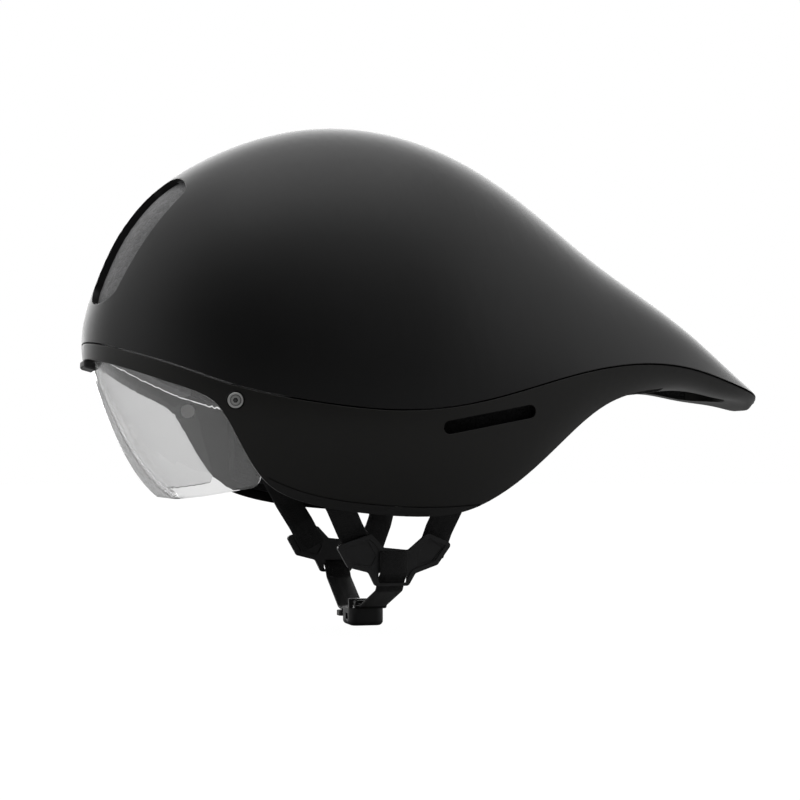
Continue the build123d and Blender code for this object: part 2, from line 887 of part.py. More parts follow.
with BuildPart() as nape_pad:
    inner_breadth = cradle_half_breadth - cradle_wall - seat_gap
    inner_back = cradle_back - cradle_wall - seat_gap
    add(ring_sketch(fit_level, inner_breadth, inner_back, nape_pad_thickness))
    extrude(amount=cradle_height, both=True)
    with BuildSketch(Plane.XZ):
        with Locations((0, fit_level)):
            RectangleRounded(nape_pad_width, nape_pad_height, case_corner)
    extrude(amount=-head_length, mode=Mode.INTERSECT)
    fillet(nape_pad.faces().sort_by(SortBy.AREA)[-2].edges(), nape_pad_thickness / 3)
nape_pad.part.label = "nape_pad"
export_step(nape_pad.part, "parts/nape_pad.step")

with BuildPart() as gear_case:
    with BuildSketch(Plane.XZ.offset(-case_front)):
        with Locations((0, fit_level)):
            RectangleRounded(case_length, case_height, case_corner)
    extrude(amount=-case_depth)
    fillet(gear_case.faces().sort_by(Axis.Y)[-1].edges(), case_wall / 2)
    with BuildSketch(Plane.XZ.offset(-case_front - case_wall)):
        with Locations((0, fit_level)):
            Rectangle(2 * case_length, 2 * cavity_half)
    extrude(amount=-gear_width - 2 * slide_clearance, mode=Mode.SUBTRACT)
    with BuildSketch(Plane.XZ.offset(-case_front - case_wall / 2)):
        with Locations((0, fit_level)):
            Circle(shaft_diameter / 2 + running_clearance)
    extrude(amount=-case_depth, mode=Mode.SUBTRACT)
gear_case.part.label = "gear_case"
export_step(gear_case.part, "parts/gear_case.step")


def draw_tooth(base, root, pitch, tip):
    """One straight-flanked tooth in the sketch at hand, with its axis up the sketch."""
    Polygon(
        (-1.5 * tooth_half_pitch, base),
        (-1.5 * tooth_half_pitch, root),
        (-tooth_half_pitch, pitch),
        (-tooth_half_pitch / 3, tip),
        (tooth_half_pitch / 3, tip),
        (tooth_half_pitch, pitch),
        (1.5 * tooth_half_pitch, root),
        (1.5 * tooth_half_pitch, base),
        align=None,
    )


root_radius = pitch_radius - tooth_root
with BuildPart() as pinion:
    with BuildSketch(Plane.XZ.offset(-gear_front)):
        with Locations((0, fit_level)):
            Circle(root_radius)
            with PolarLocations(0, gear_teeth):
                draw_tooth(root_radius / 2, root_radius, pitch_radius, pitch_radius + tooth_tip)
    extrude(amount=-gear_width)
    with BuildSketch(Plane.XZ.offset(-case_front - case_wall / 2 - seat_gap)):
        with Locations((0, fit_level)):
            Circle(shaft_diameter / 2)
    extrude(amount=-case_depth - dial_depth / 2)
pinion.part.label = "pinion"
export_step(pinion.part, "parts/pinion.step")

with BuildPart() as dial:
    with BuildSketch(Plane.XZ.offset(-case_back - seat_gap)):
        with Locations((0, fit_level)):
            Circle(dial_diameter / 2)
    extrude(amount=-dial_depth)
    fillet(dial.faces().sort_by(Axis.Y)[-1].edges(), dial_dish_depth)
    with BuildSketch(Plane.XZ.offset(-case_back)):
        with Locations((0, fit_level)):
            with PolarLocations(dial_diameter / 2 + dial_grip_diameter / 4, dial_grips):
                Circle(dial_grip_diameter / 2)
    extrude(amount=-2 * dial_depth, mode=Mode.SUBTRACT)
    with BuildSketch(Plane.XZ.offset(-case_back - seat_gap - dial_depth)):
        with Locations((0, fit_level)):
            Circle(dial_diameter / 2 - dial_grip_diameter)
    extrude(amount=dial_dish_depth, mode=Mode.SUBTRACT)
    with BuildSketch(Plane.XZ.offset(-case_back)):
        with Locations((0, fit_level)):
            Circle(shaft_diameter / 2 + running_clearance)
    extrude(amount=-dial_depth * 0.7, mode=Mode.SUBTRACT)
dial.part.label = "dial"
export_step(dial.part, "parts/dial.step")

band_sides = {1: Align.MIN, -1: Align.MAX}
rack_root = pitch_radius + tooth_root
tooth_base = tooth_root + rack_bar / 2
rack_teeth = int((rack_reach + rack_rear_end) / (pi * gear_module)) - 4
for side, side_name in ((1, "left"), (-1, "right")):
    with BuildPart() as rack:
        with BuildSketch(Plane.XZ.offset(-gear_front)):
            with Locations((0, fit_level)):
                Polygon(
                    (-side * rack_rear_end, side * rack_root),
                    (side * rack_reach, side * rack_root),
                    (side * rack_reach, -side * band_height / 2),
                    (side * (rack_reach + rack_head_wall), -side * band_height / 2),
                    (side * (rack_reach + rack_head_wall), side * (rack_root + rack_bar)),
                    (-side * rack_rear_end, side * (rack_root + rack_bar)),
                    align=None,
                )
            for tooth in range(rack_teeth):
                place = (tooth + 0.5) * pi * gear_module - rack_rear_end + rack_rear_end % (pi * gear_module)
                with Locations((side * place, fit_level + side * pitch_radius)):
                    draw_tooth(side * tooth_base, side * tooth_root, 0, -side * tooth_tip)
        extrude(amount=-gear_width)
    rack.part.label = f"rack_{side_name}"
    export_step(rack.part, f"parts/rack_{side_name}.step")

    with BuildPart() as band:
        add(ring_sketch(fit_level, band_half_breadth, band_back_reach, band_wall))
        extrude(amount=band_height / 2, both=True)
        with BuildSketch(Plane.XY.offset(fit_level)):
            with Locations((side * (rack_reach + rack_head_wall + seat_gap), band_front)):
                Rectangle(head_breadth, 2 * head_length, align=(band_sides[side], Align.MIN))
        extrude(amount=band_height, both=True, mode=Mode.INTERSECT)
        with BuildSketch(Plane.YZ):
            with Locations((temple_back, fit_level)):
                Circle(temple_pin_diameter / 2 + running_clearance)
        extrude(amount=side * head_breadth, mode=Mode.SUBTRACT)
    band.part.label = f"band_{side_name}"
    export_step(band.part, f"parts/band_{side_name}.step")

pin_head = temple_x - 1.5 * band_wall - seat_gap
with BuildPart() as temple_pins:
    with BuildSketch(Plane.YZ.offset(pin_head - temple_head_height)):
        with Locations((temple_back, fit_level)):
            Circle(temple_head_diameter / 2)
    extrude(amount=temple_head_height)
    with BuildSketch(Plane.YZ.offset(pin_head)):
        with Locations((temple_back, fit_level)):
            Circle(temple_pin_diameter / 2)
    extrude(amount=temple_x - pin_head + temple_pin_length)
    mirror(about=Plane.YZ)
temple_pins.part.label = "temple_pins"
export_step(temple_pins.part, "parts/temple_pins.step")

# Webbing: front and rear straps on each side, from their rivets down behind the divider
web_x = divider_x - seat_gap - web_wall / 2
for side, side_name in ((1, "left"), (-1, "right")):
    for (plane, rise), place_name in zip(web_layouts, ("front", "rear")):
        with BuildPart() as strap:
            with BuildSketch(plane):
                with BuildLine():
                    FilletPolyline(
                        (side * anchor_x, rise),
                        (side * anchor_x, web_leave),
                        (side * web_x, web_land),
                        (side * web_x, -web_tail),
                        radius=web_bend,
                    )
                trace(line_width=web_wall)
            extrude(amount=web_width / 2, both=True)
            with BuildSketch(Plane.YZ):
                with Locations(tuple(plane.from_local_coords((0, rise - anchor_height / 2, 0)))[1:]):
                    Circle(rivet_diameter / 2 + running_clearance)
            extrude(amount=side * half_width, mode=Mode.SUBTRACT)
        strap.part.label = f"strap_{place_name}_{side_name}"
        export_step(strap.part, f"parts/strap_{place_name}_{side_name}.step")

# Rivets with their washer plates, which hold the straps to the foam
with BuildPart() as strap_anchors:
    for plane, rise in web_layouts:
        with BuildSketch(rivet_plane(plane, rise).offset(web_wall / 2 + seat_gap)):
            RectangleRounded(web_width + 2 * anchor_wall, anchor_height, anchor_wall)
        extrude(amount=anchor_wall)
        with BuildSketch(rivet_plane(plane, rise).offset(-web_wall / 2 - seat_gap)):
            Circle(rivet_diameter / 2)
        extrude(amount=rivet_length)
        with BuildSketch(rivet_plane(plane, rise).offset(-web_wall / 2 - seat_gap)):
            Circle(rivet_head_diameter / 2)
        extrude(amount=-rivet_head_height)
    mirror(about=Plane.YZ)
strap_anchors.part.label = "strap_anchors"
export_step(strap_anchors.part, "parts/strap_anchors.step")


def divider_points(shares):
    """Points on a divider from shares of its half width and half height."""
    return [
        (divider_back + back * divider_width / 2, divider_level + level * divider_height / 2)
        for back, level in shares
    ]


with BuildSketch() as divider_outline:
    Polygon(*divider_points(divider_shares), align=None)
    fillet(divider_outline.vertices(), divider_corner)

for side, side_name in ((1, "left"), (-1, "right")):
    with BuildPart() as divider:
        with BuildSketch(Plane.YZ.offset(side * divider_x)):
            add(divider_outline.sketch_local)
        extrude(amount=side * divider_wall)
        with BuildSketch(Plane.YZ.offset(side * (divider_x + divider_wall))):
            add(divider_outline.sketch_local)
            offset(amount=-divider_rim, kind=Kind.ARC)
        extrude(amount=-side * divider_recess, mode=Mode.SUBTRACT)
        with BuildSketch(Plane.YZ.offset(side * divider_x)) as windows:
            Polygon(*divider_points(front_window_shares), align=None)
            Polygon(*divider_points(rear_window_shares), align=None)
            fillet(windows.vertices(), divider_corner / 2)
            with Locations((lower_web_back, divider_slot_level)):
                RectangleRounded(web_width + 2 * slide_clearance, divider_slot_height, divider_corner / 2)
        extrude(amount=side * divider_wall, mode=Mode.SUBTRACT)
    divider.part.label = f"divider_{side_name}"
    export_step(divider.part, f"parts/divider_{side_name}.step")

# Lower straps: over the divider's face, through its slot and down to the chin buckle
lower_x = divider_x + divider_wall + seat_gap + web_wall / 2
lower_plane = Plane.XZ.offset(-lower_web_back)
near_level = housing_top + seat_gap + 1.5 * web_wall
tongue_level = housing_top - housing_height / 2
far_level = tongue_level + loop_wall / 2 + seat_gap + web_wall / 2
loop_start = housing_near_x - housing_length - tongue_neck_length
near_end = ((lower_web_flat_x, near_level), (housing_near_x - housing_web_overlap, near_level))
far_flat_x = loop_length - loop_start + lower_web_flat_share * loop_length
far_end = ((far_flat_x, far_level), (loop_bar - loop_start, far_level))
for side, side_name, end in ((1, "left", near_end), (-1, "right", far_end)):
    with BuildPart() as lower_strap:
        with BuildSketch(lower_plane):
            with BuildLine():
                FilletPolyline(
                    (side * lower_x, lower_web_top),
                    (side * lower_x, lower_web_foot),
                    (side * (web_x - seat_gap), divider_slot_level - web_wall),
                    (side * lower_web_turn_x, lower_web_turn),
                    *[(side * across, level) for across, level in end],
                    radius=[web_wall, web_bend, web_bend, 2 * web_bend],
                )
            trace(line_width=web_wall)
        extrude(amount=web_width / 2, both=True)
    lower_strap.part.label = f"strap_lower_{side_name}"
    export_step(lower_strap.part, f"parts/strap_lower_{side_name}.step")

# Chin buckle: a hollow housing with a bar over its strap, and a pronged tongue with a strap loop
housing_centre_x = housing_near_x - housing_length / 2
with BuildPart() as buckle_housing:
    with BuildSketch(Plane.XY.offset(housing_top)):
        with Locations((housing_centre_x, lower_web_back)):
            RectangleRounded(housing_length, housing_width, 2 * housing_round)
    extrude(amount=-housing_height)
    fillet(buckle_housing.faces().group_by(Axis.Z)[0][0].edges(), housing_round)
    with BuildSketch(Plane.YZ.offset(housing_near_x - housing_length)):
        with Locations((lower_web_back, tongue_level)):
            Rectangle(tongue_width + 2 * slide_clearance, tongue_wall + 2 * slide_clearance)
    extrude(amount=tongue_length + 2 * slide_clearance, mode=Mode.SUBTRACT)
    with BuildSketch(Plane.XZ.offset(-lower_web_back)):
        with Locations((housing_centre_x + housing_round, tongue_level)):
            Rectangle(tongue_length / 3, tongue_wall)
    extrude(amount=housing_width, both=True, mode=Mode.SUBTRACT)
    bridge_top = near_level + web_wall / 2 + seat_gap + web_wall
    with BuildSketch(Plane.YZ.offset(housing_near_x - housing_round)):
        with Locations((lower_web_back, housing_top - seat_gap)):
            Rectangle(housing_width, bridge_top - housing_top + seat_gap, align=(Align.CENTER, Align.MIN))
            Rectangle(
                web_width + 2 * slide_clearance,
                near_level + web_wall / 2 + 2 * seat_gap - housing_top,
                align=(Align.CENTER, Align.MIN),
                mode=Mode.SUBTRACT,
            )
    extrude(amount=-housing_round)
buckle_housing.part.label = "buckle_housing"
export_step(buckle_housing.part, "parts/buckle_housing.step")

with BuildPart() as buckle_tongue:
    with BuildSketch(Plane.XY.offset(tongue_level)):
        mouth = housing_near_x - housing_length
        Polygon(
            (mouth + tongue_length, lower_web_back - tongue_width / 2 + tongue_prong_width / 2),
            (mouth + tongue_length, lower_web_back + tongue_width / 2 - tongue_prong_width / 2),
            (mouth + tongue_length - tongue_prong_width, lower_web_back + tongue_width / 2),
            (mouth, lower_web_back + tongue_width / 2),
            (loop_start, lower_web_back + tongue_width / 3),
            (loop_start, lower_web_back - tongue_width / 3),
            (mouth, lower_web_back - tongue_width / 2),
            (mouth + tongue_length - tongue_prong_width, lower_web_back - tongue_width / 2),
            align=None,
        )
        with Locations((mouth + tongue_length, lower_web_back)):
            Rectangle(
                1.5 * tongue_length,
                tongue_width - 2 * tongue_prong_width,
                align=(Align.CENTER, Align.CENTER),
                mode=Mode.SUBTRACT,
            )
    extrude(amount=tongue_wall / 2, both=True)
    with BuildSketch(Plane.XY.offset(tongue_level)):
        with Locations((loop_start - loop_length / 2, lower_web_back)):
            RectangleRounded(loop_length, loop_width, loop_bar)
            Rectangle(loop_length - 2 * loop_bar, web_width + 2 * slide_clearance, mode=Mode.SUBTRACT)
    extrude(amount=loop_wall / 2, both=True)
buckle_tongue.part.label = "buckle_tongue"
export_step(buckle_tongue.part, "parts/buckle_tongue.step")

keeper_margin = keeper_wall + seat_gap
with BuildPart() as strap_keeper:
    with BuildSketch(Plane.YZ.offset(keeper_x)):
        with Locations((lower_web_back, near_level)):
            RectangleRounded(web_width + 2 * keeper_margin, web_wall + 2 * keeper_margin, keeper_wall)
            Rectangle(web_width + 2 * seat_gap, web_wall + 2 * seat_gap, mode=Mode.SUBTRACT)
    extrude(amount=keeper_length / 2, both=True)
strap_keeper.part.label = "strap_keeper"
export_step(strap_keeper.part, "parts/strap_keeper.step")
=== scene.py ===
"""Looks of the aero time trial helmet: studio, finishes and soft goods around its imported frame."""
from math import cos, exp, hypot, pi, radians, sin, sqrt, tan

import bmesh
import bpy
from mathutils import Matrix, Vector
from mathutils.bvhtree import BVHTree


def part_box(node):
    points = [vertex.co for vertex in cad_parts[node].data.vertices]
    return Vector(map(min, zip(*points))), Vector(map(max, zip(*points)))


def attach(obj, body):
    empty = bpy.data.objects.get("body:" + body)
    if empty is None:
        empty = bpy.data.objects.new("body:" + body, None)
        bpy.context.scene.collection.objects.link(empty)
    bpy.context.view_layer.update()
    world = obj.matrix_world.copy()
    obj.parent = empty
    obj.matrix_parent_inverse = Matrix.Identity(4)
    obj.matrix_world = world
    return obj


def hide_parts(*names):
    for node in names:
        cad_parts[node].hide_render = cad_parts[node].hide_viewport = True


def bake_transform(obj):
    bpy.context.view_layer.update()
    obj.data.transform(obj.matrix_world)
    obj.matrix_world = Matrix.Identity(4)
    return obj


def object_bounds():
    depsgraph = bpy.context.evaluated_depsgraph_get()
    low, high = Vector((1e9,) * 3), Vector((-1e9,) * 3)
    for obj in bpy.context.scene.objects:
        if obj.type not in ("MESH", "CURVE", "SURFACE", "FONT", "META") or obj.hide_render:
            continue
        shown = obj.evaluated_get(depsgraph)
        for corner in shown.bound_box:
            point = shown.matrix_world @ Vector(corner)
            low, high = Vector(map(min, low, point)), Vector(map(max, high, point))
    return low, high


bl_info = {
    "name": "Aero time trial helmet",
    "version": (1, 0, 0),
    "blender": (4, 5, 0),
    "location": "View3D > Sidebar > Helmet",
    "description": "Builds the studio, finishes and soft goods of a long-tailed cycling helmet",
    "category": "Object",
}

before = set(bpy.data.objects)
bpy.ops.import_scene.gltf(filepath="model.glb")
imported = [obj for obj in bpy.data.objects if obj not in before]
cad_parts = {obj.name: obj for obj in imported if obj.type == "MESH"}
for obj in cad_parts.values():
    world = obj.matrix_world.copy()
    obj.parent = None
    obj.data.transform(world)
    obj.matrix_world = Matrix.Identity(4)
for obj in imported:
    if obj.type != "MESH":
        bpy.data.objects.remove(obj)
CAD_LOW, CAD_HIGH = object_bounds()
MM = 0.001


def hex_to_linear(text):
    """An sRGB hex colour as linear red, green and blue."""
    channels = [int(text[place : place + 2], 16) / 255 for place in (0, 2, 4)]
    return tuple(c / 12.92 if c <= 0.04045 else ((c + 0.055) / 1.055) ** 2.4 for c in channels)


def colour_property(name, description, text):
    """A colour that a user can change, with its default as an sRGB hex value."""
    return bpy.props.FloatVectorProperty(
        name=name, description=description, default=hex_to_linear(text), subtype="COLOR", min=0, max=1
    )


def length_property(name, description, millimetres):
    """A length that a user can change, with its default in millimetres."""
    return bpy.props.FloatProperty(
        name=name, description=description, default=millimetres * MM, unit="LENGTH", subtype="DISTANCE"
    )


def angle_property(name, description, degrees):
    """An angle that a user can change, with its default in degrees."""
    return bpy.props.FloatProperty(
        name=name, description=description, default=radians(degrees), subtype="ANGLE"
    )


def number_property(name, description, default, **limits):
    """A plain number that a user can change, with its limits or its unit."""
    return bpy.props.FloatProperty(name=name, description=description, default=default, **limits)


class HelmetStudioSettings(bpy.types.PropertyGroup):
    """Camera, floor and light of the studio."""

    camera_azimuth: angle_property("Azimuth", "Camera's turn round the helmet", 75)
    camera_elevation: angle_property("Elevation", "Camera's angle above the horizon", -2.2)
    camera_distance: length_property("Distance", "Camera's distance from its target", 1000)
    camera_target: bpy.props.FloatVectorProperty(
        name="Target",
        description="Point that the camera looks at",
        default=(0, 50 * MM, 0),
        subtype="TRANSLATION",
    )
    camera_lens: number_property("Lens", "Focal length of the camera", 78.75, unit="CAMERA")
    floor_gap: length_property("Floor gap", "Gap between the buckle and the floor", 1.5)
    floor_reach: length_property("Floor reach", "Radius of the round floor", 8000)
    floor_colour: colour_property("Floor", "Colour of the floor", "a0a0a0")
    floor_white: number_property("Floor white", "Brightness of the floor's white to the camera", 1.16, min=0)
    floor_seen: number_property(
        "Floor share", "Share of that white; the rest keeps the shadow", 0.85, min=0, max=1, subtype="FACTOR"
    )
    softbox_width: length_property("Softbox width", "Width of the softbox overhead", 1600)
    softbox_depth: length_property("Softbox depth", "Length of the softbox from front to back", 1200)
    softbox_back: length_property("Softbox place", "Distance of the softbox behind the helmet's origin", 60)
    softbox_height: length_property("Softbox height", "Height of the softbox over the helmet's origin", 1500)
    softbox_power: number_property("Softbox", "Power of the softbox overhead", 3, min=0, unit="POWER")
    studio_dark: number_property("Dark side", "Brightness of the studio's darkest side", 0.0, min=0)
    studio_glow: number_property("Glow", "Brightness of the studio's walls at the horizon", 0.72, min=0)
    studio_ceiling: number_property("Ceiling", "Brightness that the ceiling adds", 0.5, min=0)
    studio_backdrop: number_property("Backdrop", "Brightness that the lit backdrop adds", 4.0, min=0)
    backdrop_edge: number_property("Backdrop edge", "Cosine of the angle at which the backdrop starts", -0.6)
    wall_edge: number_property("Wall edge", "Cosine of the angle at which the walls are fully lit", 0.25)
    wall_fall: number_property("Wall falloff", "Power by which the walls darken towards the camera", 1.7)


class HelmetFinishSettings(bpy.types.PropertyGroup):
    """Colours and grain sizes of the materials."""

    upper_colour: colour_property("Upper shell", "Colour of the upper shell", "0c0c0d")
    lower_colour: colour_property("Lower shell", "Colour of the lower shell", "0f0e0b")
    trim_colour: colour_property("Trim", "Colour of the rubber trim", "101010")
    foam_colour: colour_property("Foam", "Colour of the crown and skirt foam", "1c1c1d")
    nose_colour: colour_property("Nose foam", "Colour of the foam floor in the crown intakes", "7c7c7d")
    lens_colour: colour_property("Lens", "Tint of the clear visor", "fbfbfb")
    fabric_colour: colour_property("Pad fabric", "Colour of the comfort pads", "1a1a1c")
    webbing_colour: colour_property("Webbing", "Colour of the straps", "121213")
    plastic_colour: colour_property("Fittings", "Colour of the dividers and buckle", "262627")
    steel_colour: colour_property("Steel", "Colour of the screws", "e2e2e0")
    grain_size: length_property("Shell grain", "Size of the shell's fine moulded grain", 0.5)
    bead_size: length_property("Bead size", "Size of the foam's beads", 2.6)
    tab_draw: length_property("Tab draw", "How far the tip of the visor's tab is drawn in", 2.4)
    knit_pitch: length_property("Knit pitch", "Spacing of the pad fabric's loops", 0.9)


class HelmetIntakeSettings(bpy.types.PropertyGroup):
    """Size and depth of the two crown intakes."""

    spine: length_property("Spine", "Half the width of the shell's spine between the intakes", 2.5)
    reach: length_property("Reach", "Distance of the outer edge from the middle at its widest", 48)
    narrowing: length_property("Narrowing", "How far the outer edge draws in towards each end", 6.5)
    length: length_property("Length", "Length of each intake along the slope of the front", 82)
    rise: length_property("Rise", "Place of the intakes' middle up the slope", -2)
    depth: length_property("Depth", "Depth of the foam floor under the outer face of the shell", 3.9)
    cover: length_property("Shell", "Thickness of the shell round the intakes", 1.8)
    floor_wall: length_property("Floor", "Thickness of the foam floor and its sides", 1.2)
    hole_length: length_property("Hole length", "Length of the moulded hole that the spine bridges", 84)
    hole_top: length_property("Hole top", "Width of that hole towards the crown", 44)
    hole_foot: length_property("Hole foot", "Width of that hole towards the brow", 30)
    hole_corner: length_property("Hole corner", "Radius of that hole's corners at half its length", 14.5)
    hole_gain: length_property("Corner gain", "How much the corners' radius gains towards the crown", 2.5)
    lap: length_property("Lap", "How far the spine's filler runs into the shell round the hole", 0.2)


class HelmetSoftSettings(bpy.types.PropertyGroup):
    """Sizes of the webbing and of the pads."""

    web_width: length_property("Webbing width", "Width of the straps", 15)
    web_wall: length_property("Webbing thickness", "Thickness of the straps", 1.5)
    web_pitch: length_property("Weave pitch", "Spacing of the webbing's ribs", 1.3)
    pad_crown: length_property("Pad crown", "Height that the pads swell towards the head", 1.2)
    pad_seam: length_property("Seam inset", "Distance of the sewn seam from the pad's edge", 3.4)
    pad_voxel: length_property("Pad detail", "Size of the pads' mesh faces", 1.2)
    pad_corner: length_property("Pad corner", "Radius of the pads' corners", 10)
    pad_swell: length_property("Swell run", "Distance over which the pads rise from their edge", 4)
    seam_depth: length_property("Seam depth", "Depth of the sewn seam", 0.9)
    seam_width: length_property("Seam width", "Half the width of the sewn seam", 0.8)
    channel_pitch: length_property("Channel pitch", "Rough spacing of the cross channels", 28)
    channel_depth: length_property("Channel depth", "Depth of the cross channels", 0.8)
    channel_width: length_property("Channel width", "Half the width of the cross channels", 1.1)
    head_middle: length_property("Head middle", "Height of the point that the pads face", 20)


# Nodes and materials
def add_node(tree, kind, sockets=None, **settings):
    """Add a node with its settings; each socket gets a value or the output that feeds it."""
    node = tree.nodes.new(kind)
    for name, value in settings.items():
        setattr(node, name, value)
    for name, value in (sockets or {}).items():
        if isinstance(value, bpy.types.NodeSocket):
            tree.links.new(value, node.inputs[name])
        else:
            node.inputs[name].default_value = value
    return node


def new_material(name):
    """An empty material with its output, ready for its nodes."""
    material = bpy.data.materials.new(name)
    material.use_nodes = True
    material.node_tree.nodes.clear()
    return material, material.node_tree


def close_material(tree, shader):
    """Join the last shader to the material's output."""
    add_node(tree, "ShaderNodeOutputMaterial", {"Surface": shader})


def rgba(colour):
    """A colour property with full opacity."""
    return (*colour, 1.0)


def satin_abs(name, colour, roughness, grain):
    """Injection-moulded ABS under a satin lacquer: deep black, wide soft highlights, faint grain."""
    material, tree = new_material(name)
    place = add_node(tree, "ShaderNodeTexCoord").outputs["Object"]
    peel = add_node(tree, "ShaderNodeTexNoise", {"Vector": place, "Scale": 1 / grain, "Detail": 2.0})
    sweep = add_node(tree, "ShaderNodeTexNoise", {"Vector": place, "Scale": 0.02 / grain, "Detail": 3.0})
    gloss = add_node(
        tree,
        "ShaderNodeMapRange",
        {"Value": sweep.outputs["Fac"], "To Min": roughness - 0.03, "To Max": roughness + 0.03},
    )
    edge = add_node(tree, "ShaderNodeBevel", {"Radius": 0.7 * MM}, samples=4)
    bump = add_node(
        tree,
        "ShaderNodeBump",
        {"Height": peel.outputs["Fac"], "Strength": 0.12, "Distance": 0.02 * MM, "Normal": edge.outputs[0]},
    )
    shader = add_node(
        tree,
        "ShaderNodeBsdfPrincipled",
        {
            "Base Color": rgba(colour),
            "Roughness": gloss.outputs["Result"],
            "IOR": 1.46,
            "Normal": bump.outputs["Normal"],
        },
    )
    close_material(tree, shader.outputs[0])
    return material


def moulded_plastic(name, colour, roughness, grain):
    """Glass-filled nylon from a spark-eroded mould: dull, with a fine even grain and soft edges."""
    material, tree = new_material(name)
    place = add_node(tree, "ShaderNodeTexCoord").outputs["Object"]
    spark = add_node(tree, "ShaderNodeTexVoronoi", {"Vector": place, "Scale": 1 / grain})
    wear = add_node(tree, "ShaderNodeTexNoise", {"Vector": place, "Scale": 0.05 / grain, "Detail": 4.0})
    gloss = add_node(
        tree,
        "ShaderNodeMapRange",
        {"Value": wear.outputs["Fac"], "To Min": roughness - 0.06, "To Max": roughness + 0.06},
    )
    edge = add_node(tree, "ShaderNodeBevel", {"Radius": 0.3 * MM}, samples=4)
    bump = add_node(
        tree,
        "ShaderNodeBump",
        {
            "Height": spark.outputs["Distance"],
            "Strength": 0.25,
            "Distance": 0.05 * MM,
            "Normal": edge.outputs[0],
        },
    )
    shader = add_node(
        tree,
        "ShaderNodeBsdfPrincipled",
        {
            "Base Color": rgba(colour),
            "Roughness": gloss.outputs["Result"],
            "IOR": 1.5,
            "Normal": bump.outputs["Normal"],
        },
    )
    close_material(tree, shader.outputs[0])
    return material


def trim_rubber(colour):
    """Extruded thermoplastic rubber: matt, a little lighter than the shell, with fine drawn lines."""
    material, tree = new_material("extruded_rubber")
    place = add_node(tree, "ShaderNodeTexCoord").outputs["Object"]
    squeeze = add_node(tree, "ShaderNodeMapping", {"Vector": place, "Scale": (1, 0.1, 1)})
    drawn = add_node(tree, "ShaderNodeTexNoise", {"Vector": squeeze.outputs[0], "Scale": 1 / (0.8 * MM)})
    edge = add_node(tree, "ShaderNodeBevel", {"Radius": 0.4 * MM}, samples=4)
    bump = add_node(
        tree,
        "ShaderNodeBump",
        {"Height": drawn.outputs["Fac"], "Strength": 0.2, "Distance": 0.05 * MM, "Normal": edge.outputs[0]},
    )
    shader = add_node(
        tree,
        "ShaderNodeBsdfPrincipled",
        {"Base Color": rgba(colour), "Roughness": 0.62, "IOR": 1.5, "Normal": bump.outputs["Normal"]},
    )
    close_material(tree, shader.outputs[0])
    return material


def bead_foam(name, colour, bead, joint):
    """Steam-moulded polystyrene beads, dyed grey: pressed cells with dark joints between them."""
    material, tree = new_material(name)
    place = add_node(tree, "ShaderNodeTexCoord").outputs["Object"]
    cells = add_node(tree, "ShaderNodeTexVoronoi", {"Vector": place, "Scale": 1 / bead})
    joints = add_node(
        tree, "ShaderNodeTexVoronoi", {"Vector": place, "Scale": 1 / bead}, feature="DISTANCE_TO_EDGE"
    )
    depth = add_node(
        tree, "ShaderNodeMapRange", {"Value": joints.outputs["Distance"], "From Max": 0.16}
    )
    shade = add_node(
        tree, "ShaderNodeHueSaturation", {"Color": rgba(colour), "Value": depth.outputs["Result"]}
    )
    tone = add_node(
        tree,
        "ShaderNodeMixRGB",
        {"Fac": joint, "Color1": rgba(colour), "Color2": shade.outputs["Color"]},
    )
    grey = add_node(tree, "ShaderNodeRGBToBW", {"Color": cells.outputs["Color"]})
    mottle = add_node(
        tree,
        "ShaderNodeMixRGB",
        {"Fac": 0.3, "Color1": tone.outputs["Color"], "Color2": grey.outputs["Val"]},
        blend_type="SOFT_LIGHT",
    )
    bump = add_node(
        tree, "ShaderNodeBump", {"Height": depth.outputs["Result"], "Strength": 0.6, "Distance": 0.3 * MM}
    )
    shader = add_node(
        tree,
        "ShaderNodeBsdfPrincipled",
        {
            "Base Color": mottle.outputs["Color"],
            "Roughness": 0.72,
            "IOR": 1.4,
            "Normal": bump.outputs["Normal"],
        },
    )
    close_material(tree, shader.outputs[0])
    return material


def clear_polycarbonate(colour):
    """Injection-moulded polycarbonate with a hard coat: clear, thick, with bright edges and a light veil."""
    material, tree = new_material("coated_polycarbonate")
    glass = add_node(
        tree,
        "ShaderNodeBsdfPrincipled",
        {"Base Color": rgba(colour), "Roughness": 0.0, "IOR": 1.58, "Transmission Weight": 1.0},
    )
    clear = add_node(tree, "ShaderNodeBsdfTransparent", {"Color": rgba(colour)})
    path = add_node(tree, "ShaderNodeLightPath")
    through = add_node(
        tree,
        "ShaderNodeMath",
        {0: path.outputs["Is Shadow Ray"], 1: path.outputs["Is Diffuse Ray"]},
        operation="MAXIMUM",
    )
    lit = add_node(
        tree, "ShaderNodeMixShader", {0: through.outputs[0], 1: glass.outputs[0], 2: clear.outputs[0]}
    )
    veil = add_node(tree, "ShaderNodeBsdfDiffuse", {"Color": (0.9, 0.9, 0.9, 1.0)})
    shader = add_node(tree, "ShaderNodeMixShader", {0: 0.12, 1: lit.outputs[0], 2: veil.outputs[0]})
    close_material(tree, shader.outputs[0])
    return material


